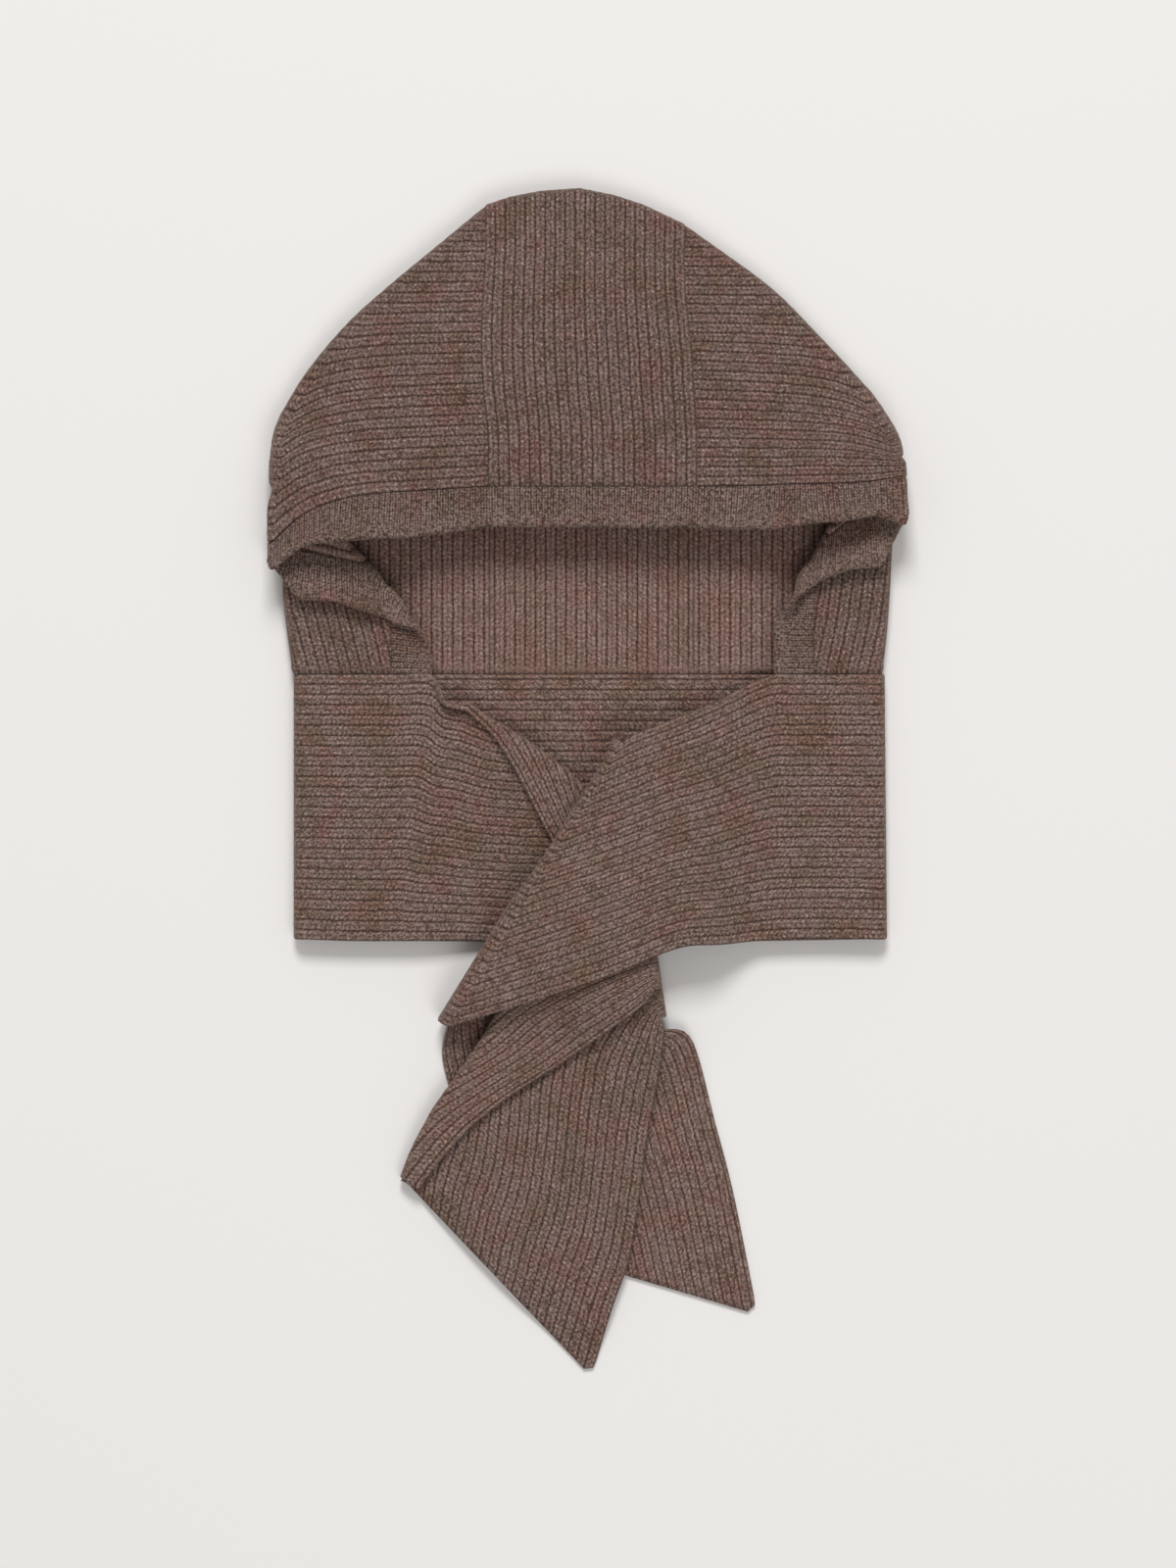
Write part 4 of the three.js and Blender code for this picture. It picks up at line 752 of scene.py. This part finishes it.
# The left panel's rows are taken backwards, so that its face side points up too
for side, panel, order, area in zip(("left", "right"), (left_panel, right_panel), (-1, 1), SIDE_AREAS):
    points, ribs, stitches = [grid[::order] for grid in panel]
    side_piece = knit_mesh(f"knit_side_{side}", points, ribs, stitches, RIM_SEWN, neck_welt(points))
    hand_over(side_piece, wool(f"ribbed_wool_{side}", PANEL_WOOL, STITCH), f"side_panel_{side}")

# The centre panel: ribbed knit with its ribs running from the brow over the crown and down the back.
# It is sewn to both side panels along its whole length.
CENTRE_RIBS = 20  # ribs across the panel
CENTRE_SAMPLES = 6  # points to a rib


def crown_rise(x):
    """How far the crown's fold line stands above the straight line between its ends."""
    crown = place(CROWN_TOP)
    straight = np.interp(x, crown[[0, -1], 0], crown[[0, -1], 1])
    return np.interp(x, crown[:, 0], crown[:, 1]) - straight


def centre_panel(count_across):
    """Middle surface of the centre panel between the side panels' seams: a straight mix of the seam places,
    raised by the crown's line, on the crown ply in front, the back ply behind, and a half turn on top."""
    front = steps((BAND_ROW, 50), (0, 0))
    over = steps((0, 8), (COL_EDGE, 22), (COL_BACK, 16), (COL_END, 0))[1:]
    behind = steps((0, 60), (BAND_ROW, 24), (BAND_ROW + CHEEK_ROWS, 0))[1:]
    u = np.concatenate([front, 0 * over, behind])
    w = np.concatenate([0 * front, over, np.full(len(behind), COL_END)])
    sides = ((LEFT_ROWS, LEFT_CHEEK, 1), (RIGHT_ROWS, RIGHT_CHEEK, -1))
    left, right = [side_panel(*side, u, w) for side in sides]
    fold_left, fold_right = [side_panel(*side, 0, COL_EDGE) for side in sides]
    on_fold = (u == 0) & (w > COL_EDGE) & (w < COL_BACK)
    share = np.linspace(0, 1, count_across)
    start = np.where(on_fold[:, None], fold_left, left)[:, None, :2]
    end = np.where(on_fold[:, None], fold_right, right)[:, None, :2]
    flat = start + (end - start) * share[None, :, None]
    nearness = np.clip(np.minimum(w / COL_EDGE, (COL_END - w) / (COL_END - COL_BACK)), 0, 1)
    rise = np.where(u == 0, nearness, 0)
    flat[..., 1] += rise[:, None] * crown_rise(flat[..., 0])
    wall = np.clip((w - COL_EDGE) / (COL_BACK - COL_EDGE), 0, 1)[:, None] + 0 * share
    points = np.select([(w < COL_EDGE)[:, None, None], (w > COL_BACK)[:, None, None]],
                       [on_hood("crown", flat), on_hood("back", flat)],
                       hood_turn("crown", "back", flat, TO_CROWN, wall))
    points[:, 0], points[:, -1] = left, right
    return points


def evenly(points, count):
    """The same line or surface with its points or rows an even length apart, on a curve through them."""
    run = np.nanmean(lengths(points, 0).reshape(len(points), -1), axis=1)
    return along(points, np.interp(np.linspace(0, run[-1], count + 1), run, np.arange(len(points))))


centre_rows = centre_panel(CENTRE_RIBS * CENTRE_SAMPLES + 1)
centre = evenly(centre_rows, int(round(lengths(centre_rows, 0)[-1].mean() / STITCH)))
centre_ribs = np.broadcast_to(np.linspace(0, CENTRE_RIBS, centre.shape[1]), centre.shape[:2])
centre_piece = knit_mesh("knit_centre", centre[::-1], centre_ribs[::-1], lengths(centre, 0)[::-1] / STITCH,
                         RIM_SEWN, neck_welt(centre)[::-1])
hand_over(centre_piece, wool("ribbed_wool_centre", PANEL_WOOL, STITCH), "centre_panel")

# The face band: fine ribbing knitted across its width, sewn to the three panels' front edges. It turns
# back under the crown at both corners, lies folded over on the cheek, and rolls out flat at the neck.
PATH_STEPS, BAND_STEPS = 14, 12  # points along a line over one ply, and across the whole band
FINE_RIB, FINE_STITCH = 3.1, 1.9  # pitch of the ribs and height of a stitch, in mm
RIB_SAMPLES = 4  # rows of points to a rib
BROW_LINES, MIDDLE_LINES = 8, 7  # spaces between lines over a side panel's seam, and over the centre panel
LAPEL_SHARES = (0.2, LAPEL_TURN, 0.5, 0.67, 0.85, 1.0)  # places of the lines along the lapel
ROLL_ROWS = 3  # lines that open the pleat's roll
EDGE_BULK = 0.45  # extra half thickness of the band's free edge, in mm
BULK_FROM, BULK_TO = 0.55, 0.9  # shares of the width over which that comes
BROW_FALL, BROW_RISE = (8, 12), (2, 7)  # lines from the brow's end where its lift ends, and is full
LIMB_RISE, LIMB_FALL = (12, 15), (21, 24)  # and where that of the turned back limb begins and ends
LIFT_SHARE = (0.1, 1.1)  # the lift across the width, from the seam: a smooth step between these shares
BROW_LIFT, LIMB_LIFT = 9.0, 5.0  # how far the free edge stands up near the corners, and turned back
MIDDLE_LIFT = 0.4  # share of the lift over the middle of the brow
CORNER_ROUND = 0.26  # share by which the band is drawn in round the corner, which rounds it from above
CORNER_ROWS = (10.5, 2.2)  # the rows of that turn, counted from the brow: the middle one, and the spread


def flat_path(ply, start, end):
    """Straight line over one ply."""
    return on_hood(ply, mix(start, end, np.linspace(0, 1, PATH_STEPS + 1)))


def cheek_path(start, out, reach):
    """Line across the band from its seam on the cheek: flat, with its edge standing, or folded over."""
    roll, free, turned = reach
    line, end = start + roll, start + free
    if turned == 0:
        return flat_path("cheek", start, end)
    foot = flat_path("cheek", start, line)
    if turned < 1:
        rise = max(np.linalg.norm(free - roll), BAND_WIDTH - np.linalg.norm(roll))
        return np.vstack([foot, foot[-1] + [0, 0, rise / 2], foot[-1] + [0, 0, rise]])
    arc = hood_turn("cheek", "lapel", line, out, np.linspace(0, 1, 7)[1:])
    return np.vstack([foot, arc, flat_path("lapel", line, end)[1:]])


def band_side(rows, cheek, band, inward):
    """Lines across the band beside one side panel, from the brow to the neck seam."""
    def seam_at(u, w):
        return side_panel(rows, cheek, inward, u, w)[..., :2]

    def free_end(start, position):
        return start + band_at(band, position)[1]

    made = []
    for share in np.arange(BROW_LINES) / BROW_LINES:
        spot = seam_at(BAND_ROW, COL_EDGE * share)
        made.append(flat_path("crown", spot, free_end(spot, share)))
    corner = seam_at(BAND_ROW, COL_EDGE)
    out_edge = away(column(rows, 1), np.array(float(BAND_ROW)), FACE_MIDDLE)
    above, below = [flat_path(ply, corner, free_end(corner, BAND_CORNER)) for ply in ("crown", "lapel")]
    made += [turn(above, below, out_edge, math.pi * k / 4) for k in range(5)]
    for share in LAPEL_SHARES:
        spot = seam_at(BAND_ROW, COL_LAPEL + np.interp(share, [0, LAPEL_TURN, 1], [0, 1, 2]))
        made.append(flat_path("lapel", spot, free_end(spot, BAND_CORNER + share)))
    roll_line = seam_at(BAND_ROW, COL_ROLL)
    beside = seam_at(BAND_ROW, COL_SIDE)
    out_roll = away(column(rows[PLEAT_ROW:], 2), np.array(float(BAND_ROW - PLEAT_ROW)), beside)
    next_line = seam_at(BAND_ROW + 0.5, COL_CHEEK)
    for k in range(ROLL_ROWS):
        share = (k + 1) / (ROLL_ROWS + 1)
        spot = mix(roll_line, next_line, share)
        position = BAND_ROLL + share / 2
        line = spot + band_at(band, position)[0]
        climb = np.linspace(0, 1, 5)[:-1]
        opening = (1 - climb) * (k + 1) / ROLL_ROWS
        arc = hood_turn("lapel", "cheek", mix(roll_line, line, climb), out_roll, opening)
        made.append(np.vstack([arc, flat_path("lapel", line, free_end(spot, position))]))
    depths = np.arange(0, CHEEK_ROWS + 0.25, 0.5)
    starts = np.array([seam_at(BAND_ROW + v, COL_CHEEK) for v in depths])
    folds = starts + np.array([band_at(band, BAND_ROLL + v)[0] for v in depths])
    for k in range(1, len(depths)):
        out = away(folds, np.array(float(k)), starts[k])
        made.append(cheek_path(starts[k], out, band_at(band, BAND_ROLL + depths[k])))
    return made


def band_surface():
    """All the lines across the band, from its left end to its right: evened out, drawn in round the corners
    by a bell curve, and lifted towards the free edge by smooth steps along the band."""
    left = band_side(LEFT_ROWS, LEFT_CHEEK, LEFT_BAND, 1)
    right = band_side(RIGHT_ROWS, RIGHT_CHEEK, RIGHT_BAND, -1)
    brow_left, brow_right = left[0][0], right[0][0]
    middle = []
    for share in np.linspace(0, 1, MIDDLE_LINES + 1)[1:-1]:
        spot = mix(brow_left, brow_right, share)[:2]
        reach = mix(band_at(LEFT_BAND, 0)[1], band_at(RIGHT_BAND, 0)[1], share)
        middle.append(flat_path("crown", spot, spot + reach))
    lines = np.array([evenly(line, BAND_STEPS) for line in [*left[::-1], *middle, *right]])
    from_brow = np.abs(np.arange(len(lines)) - (len(left) - 0.5 + len(middle) / 2)) - len(middle) / 2
    middle_share = MIDDLE_LIFT + (1 - MIDDLE_LIFT) * smooth(from_brow, *BROW_RISE)
    lift = BROW_LIFT * (1 - smooth(from_brow, *BROW_FALL)) * middle_share
    shorter = CORNER_ROUND * np.exp(-((from_brow - CORNER_ROWS[0]) / CORNER_ROWS[1]) ** 2)
    lines = lines[:, :1] + (lines - lines[:, :1]) * (1 - shorter[:, None, None])
    lift += LIMB_LIFT * smooth(from_brow, *LIMB_RISE) * (1 - smooth(from_brow, *LIMB_FALL))
    lines[..., 2] += lift[:, None] * smooth(np.linspace(0, 1, BAND_STEPS + 1), *LIFT_SHARE)
    return lines


band_rows = band_surface()
band_ribs = int(round(np.mean(lengths(band_rows, 0)[-1]) / FINE_RIB))
band = evenly(band_rows, band_ribs * RIB_SAMPLES)
band_pattern = np.broadcast_to(np.linspace(0, band_ribs, len(band))[:, None], band.shape[:2])
from_seam = np.linspace(0, 1, band.shape[1])[None, :]
band_piece = knit_mesh("knit_band", band[::-1], band_pattern[::-1], (lengths(band, 1) / FINE_STITCH)[::-1],
                       RIM_FREE, EDGE_BULK * smooth(from_seam, BULK_FROM, BULK_TO))
# Same columns as the panels' wool: painted shade, mid and light yarn, and the reverse's painted light.
BAND_WOOL = ("#31211c", "#3e2e28", "#8f7b74", "#20130f")
hand_over(band_piece, wool("fine_ribbed_wool_band", BAND_WOOL, FINE_STITCH, centre=0.15), "face_band")

# The collar and its tails: one long strip of ribbed knit, 150 mm wide, with its ribs lengthwise. Its middle
# is sewn to the hood along the neck seam, and its ends cross in front, are tied once and hang down.
EDGE_ROLL = 9  # top edge of the strip that curls over where it isn't sewn
# Columns: hem, fold, top. The left tail is folded lengthwise between hem and top.
LEFT_TAIL = [
    [(-0.583, -1.578), (-0.643, -1.55), (0.003, -2.005)],
    [(-0.52, -1.518), (-0.6, -1.472), (0.076, -1.842)],
    [(-0.405, -1.43), (-0.54, -1.39), (0.129, -1.738)],
    [(-0.271, -1.357), (-0.47, -1.32), (0.162, -1.602)],
    [(-0.092, -1.278), (-0.38, -1.231), (0.193, -1.443)],
    [(0.056, -1.206), (-0.261, -1.127), (0.227, -1.319)],
    [(0.168, -1.149), (-0.036, -1.045), (0.246, -1.215)],
    [(0.218, -1.109), (0.206, -1.018), (0.236, -1.174)],
]
LEFT_FRONT = [
    LEFT_TAIL[-1],
    [(0.046, -1.066), (0.145, -0.73), (0.089, -1.059)],
    [(-0.185, -1.014), (-0.023, -0.412), (-0.129, -0.628)],
    [(-0.333, -1.002), (-0.168, -0.274), (-0.248, -0.372)],
    [(-0.449, -0.996), (-0.294, -0.186), (-0.327, -0.234)],
    [(-0.531, -0.998), (-0.406, -0.109), (-0.419, -0.139)],
]
# Columns: hem, top
LEFT_COLLAR = [
    [(-0.6, -0.998), (-0.48, -0.05)],
    [(-0.663, -0.998), (-0.531, 0.0)],
    [(-0.795, -0.998), (-0.762, 0.0)],
    [(-0.96, -0.992), (-0.96, 0.0)],
]
RIGHT_COLLAR = [
    [(0.96, -0.992), (0.952, 0.0)],
    [(0.789, -0.988), (0.809, 0.0)],
    [(0.624, -0.992), (0.618, 0.0)],
    [(0.442, -1.006), (0.406, -0.109)],
    [(0.294, -1.014), (0.248, -0.182)],
    [(0.063, -1.077), (0.175, -0.212)],
    [(-0.201, -1.138), (0.142, -0.23)],
    [(-0.482, -1.195), (0.109, -0.255)],
]
BACK_COLLAR = [LEFT_COLLAR[-1], *[[(x, -1), (x, 0)] for x in (-0.5, 0, 0.5)], RIGHT_COLLAR[0]]
RIGHT_SEWN = 2  # the collar is sewn to the hood up to this row
RIGHT_TAIL = [
    RIGHT_COLLAR[-1],
    [(-0.5, -1.258), (0.168, -0.584)],
    [(-0.482, -1.321), (0.201, -0.985)],
    [(-0.442, -1.398), (0.201, -1.163)],
    [(-0.406, -1.455), (0.241, -1.199)],
    [(-0.38, -1.511), (0.34, -1.224)],
    [(-0.347, -1.568), (0.421, -1.419)],
    [(-0.307, -1.624), (0.485, -1.59)],
    [(-0.264, -1.694), (0.564, -1.862)],
]


def ring(rows, one, other):
    """Outline between two columns of a table."""
    return np.vstack([column(rows, one), column(rows, other)[::-1]])


STRIP_PLIES = [
    HOOD_PLIES[0],
    ("left front", [ring(LEFT_FRONT, 0, 1)], 0, 0, 0),
    ("left roll", [ring(LEFT_FRONT, 2, 1)], CREASE_LIFT, 0, 0),
    ("right under", [ring(RIGHT_TAIL, 0, 1)], CREASE_LIFT, 0, 0),
    ("left inner", [ring(LEFT_TAIL, 2, 1)], CREASE_LIFT, 0, 0),
    ("left outer", [ring(LEFT_TAIL, 0, 1)], 2 * CREASE_LIFT, 0, 0),
    ("right over", [], 2 * CREASE_LIFT, 0, KNOT_PUFF),
]
STRIP_RIBS = 26  # ribs across the strip
STRIP_POINTS = 5 * STRIP_RIBS + 1  # points across it, five to a rib
STRIP_ROWS = 375  # rows of points along it
LINE_STEPS = 30  # points from the hem to a crease, and from there to the top
WRAP_DEPTH = 2.5  # how far the gathered strip bulges out where it goes round the other tail, in mm
TIP_ROUND = 6.0  # radius of the corners of the tails' cut ends, in mm


def on_strip(name, spots):
    """Middle surface of one of the strip's plies."""
    return on_ply(STRIP_PLIES, name, spots)


def folded_row(rows, index, wrap, outer, inner):
    """Line across the strip where it is folded lengthwise: hem to crease on one ply, a half turn, and crease
    to top on the other."""
    index = np.array(float(index))
    hem, fold, top = [along(column(rows, k), index) for k in range(3)]
    out = unit(mix(TO_CROWN, away(column(rows, 1), index, hem), smooth(np.abs(index - wrap), 0, 1)))
    line = fold - out * CREASE_INSET
    share = np.linspace(0, 1, LINE_STEPS + 1)
    arc = turn(on_strip(outer, line), on_strip(inner, line), out, math.pi * np.linspace(0, 1, 9))
    to_crease, to_top = on_strip(outer, mix(hem, line, share)), on_strip(inner, mix(line, top, share))
    return np.vstack([to_crease[:-1], arc, to_top[1:]])


def flat_row(rows, index, ply, sewn):
    """Line across the strip where it lies flat, from the hem to the top, or to the neck seam if sewn."""
    hem, top = [along(column(rows, k), np.array(float(index))) for k in range(2)]
    end = np.array([top[0], 0.0]) if sewn else top
    return on_strip(ply, mix(hem, end, np.linspace(0, 1, 2 * LINE_STEPS + 1)))


def standing_row(rows, index, ply):
    """Line across the strip where its free top edge stands up, half way into its curl."""
    flat = flat_row(rows, index, ply, False)
    run = lengths(flat, 0)
    kept = flat[run < run[-1] - EDGE_ROLL]
    return np.vstack([kept, kept[-1] + np.array([0, 0, 1.0]) * EDGE_ROLL * np.linspace(0, 1, 6)[1:, None]])


def turn_rows(start, end, outward, count, deepest=FOLD_DEPTH):
    """Lines of a half turn from one line to another, with both ends left out."""
    outward = np.array(outward, float)
    return [turn(start, end, outward, math.pi * k / count, deepest) for k in range(1, count)]


def strip_surface():
    """All the lines across the strip, from the end of the left tail to the end of the right one."""
    def lines(rows, per_row, make, first=0):
        return [evenly(make(k / per_row), STRIP_POINTS - 1)
                for k in range(first * per_row, (len(rows) - 1) * per_row + 1)]

    wrap = len(LEFT_TAIL) - 1
    tail = lines(LEFT_TAIL, 3, lambda i: folded_row(LEFT_TAIL, i, wrap, "left outer", "left inner"))
    behind = lines(LEFT_FRONT, 3, lambda i: folded_row(LEFT_FRONT, i, 0, "left front", "left roll"))
    standing = [evenly(standing_row(LEFT_COLLAR, 0, "left front"), STRIP_POINTS - 1)]
    left = lines(LEFT_COLLAR, 2, lambda i: flat_row(LEFT_COLLAR, i, "left front", True), 1)
    back = lines(BACK_COLLAR, 2, lambda i: flat_row(BACK_COLLAR, i, "back", True))
    right = lines(RIGHT_COLLAR, 3, lambda i: flat_row(RIGHT_COLLAR, i, "right over", i <= RIGHT_SEWN))
    under = lines(RIGHT_TAIL, 3, lambda i: flat_row(RIGHT_TAIL, i, "right under", False))
    low, high = place(RIGHT_TAIL[0])
    crease_out = unit(np.array([low[1] - high[1], high[0] - low[0]]))
    return np.array([
        *tail, *turn_rows(tail[-1], behind[0], (1, 0), 6, WRAP_DEPTH), *behind, *standing,
        *left, *turn_rows(left[-1], back[0], (-1, 0), 6), *back, *turn_rows(back[-1], right[0], (1, 0), 6),
        *right, *turn_rows(right[-1], under[0], crease_out, 5), *under,
    ])


scarf = evenly(strip_surface(), STRIP_ROWS)
from_end = lengths(scarf, 0).mean(1)
short = np.clip(TIP_ROUND - np.minimum(from_end, from_end[-1] - from_end), 0, TIP_ROUND)
inset = (TIP_ROUND - np.sqrt(TIP_ROUND**2 - short**2)) / lengths(scarf, 1)[:, -1]
across_strip = inset[:, None] + (1 - 2 * inset[:, None]) * np.linspace(0, 1, STRIP_POINTS)
scarf = np.array([along(row, share * (STRIP_POINTS - 1)) for row, share in zip(scarf, across_strip)])
scarf_piece = knit_mesh("knit_scarf", scarf[::-1], (across_strip * STRIP_RIBS)[::-1],
                        (lengths(scarf, 0) / STITCH)[::-1], RIM_FREE)
# Same columns as the panels' wool: painted shade, mid and light yarn, and the reverse's painted light.
SCARF_WOOL = ("#382821", "#4e3c36", "#958078", "#20130f")
hand_over(scarf_piece, wool("ribbed_wool_scarf", SCARF_WOOL, STITCH, seed=3.0), "neck_scarf")
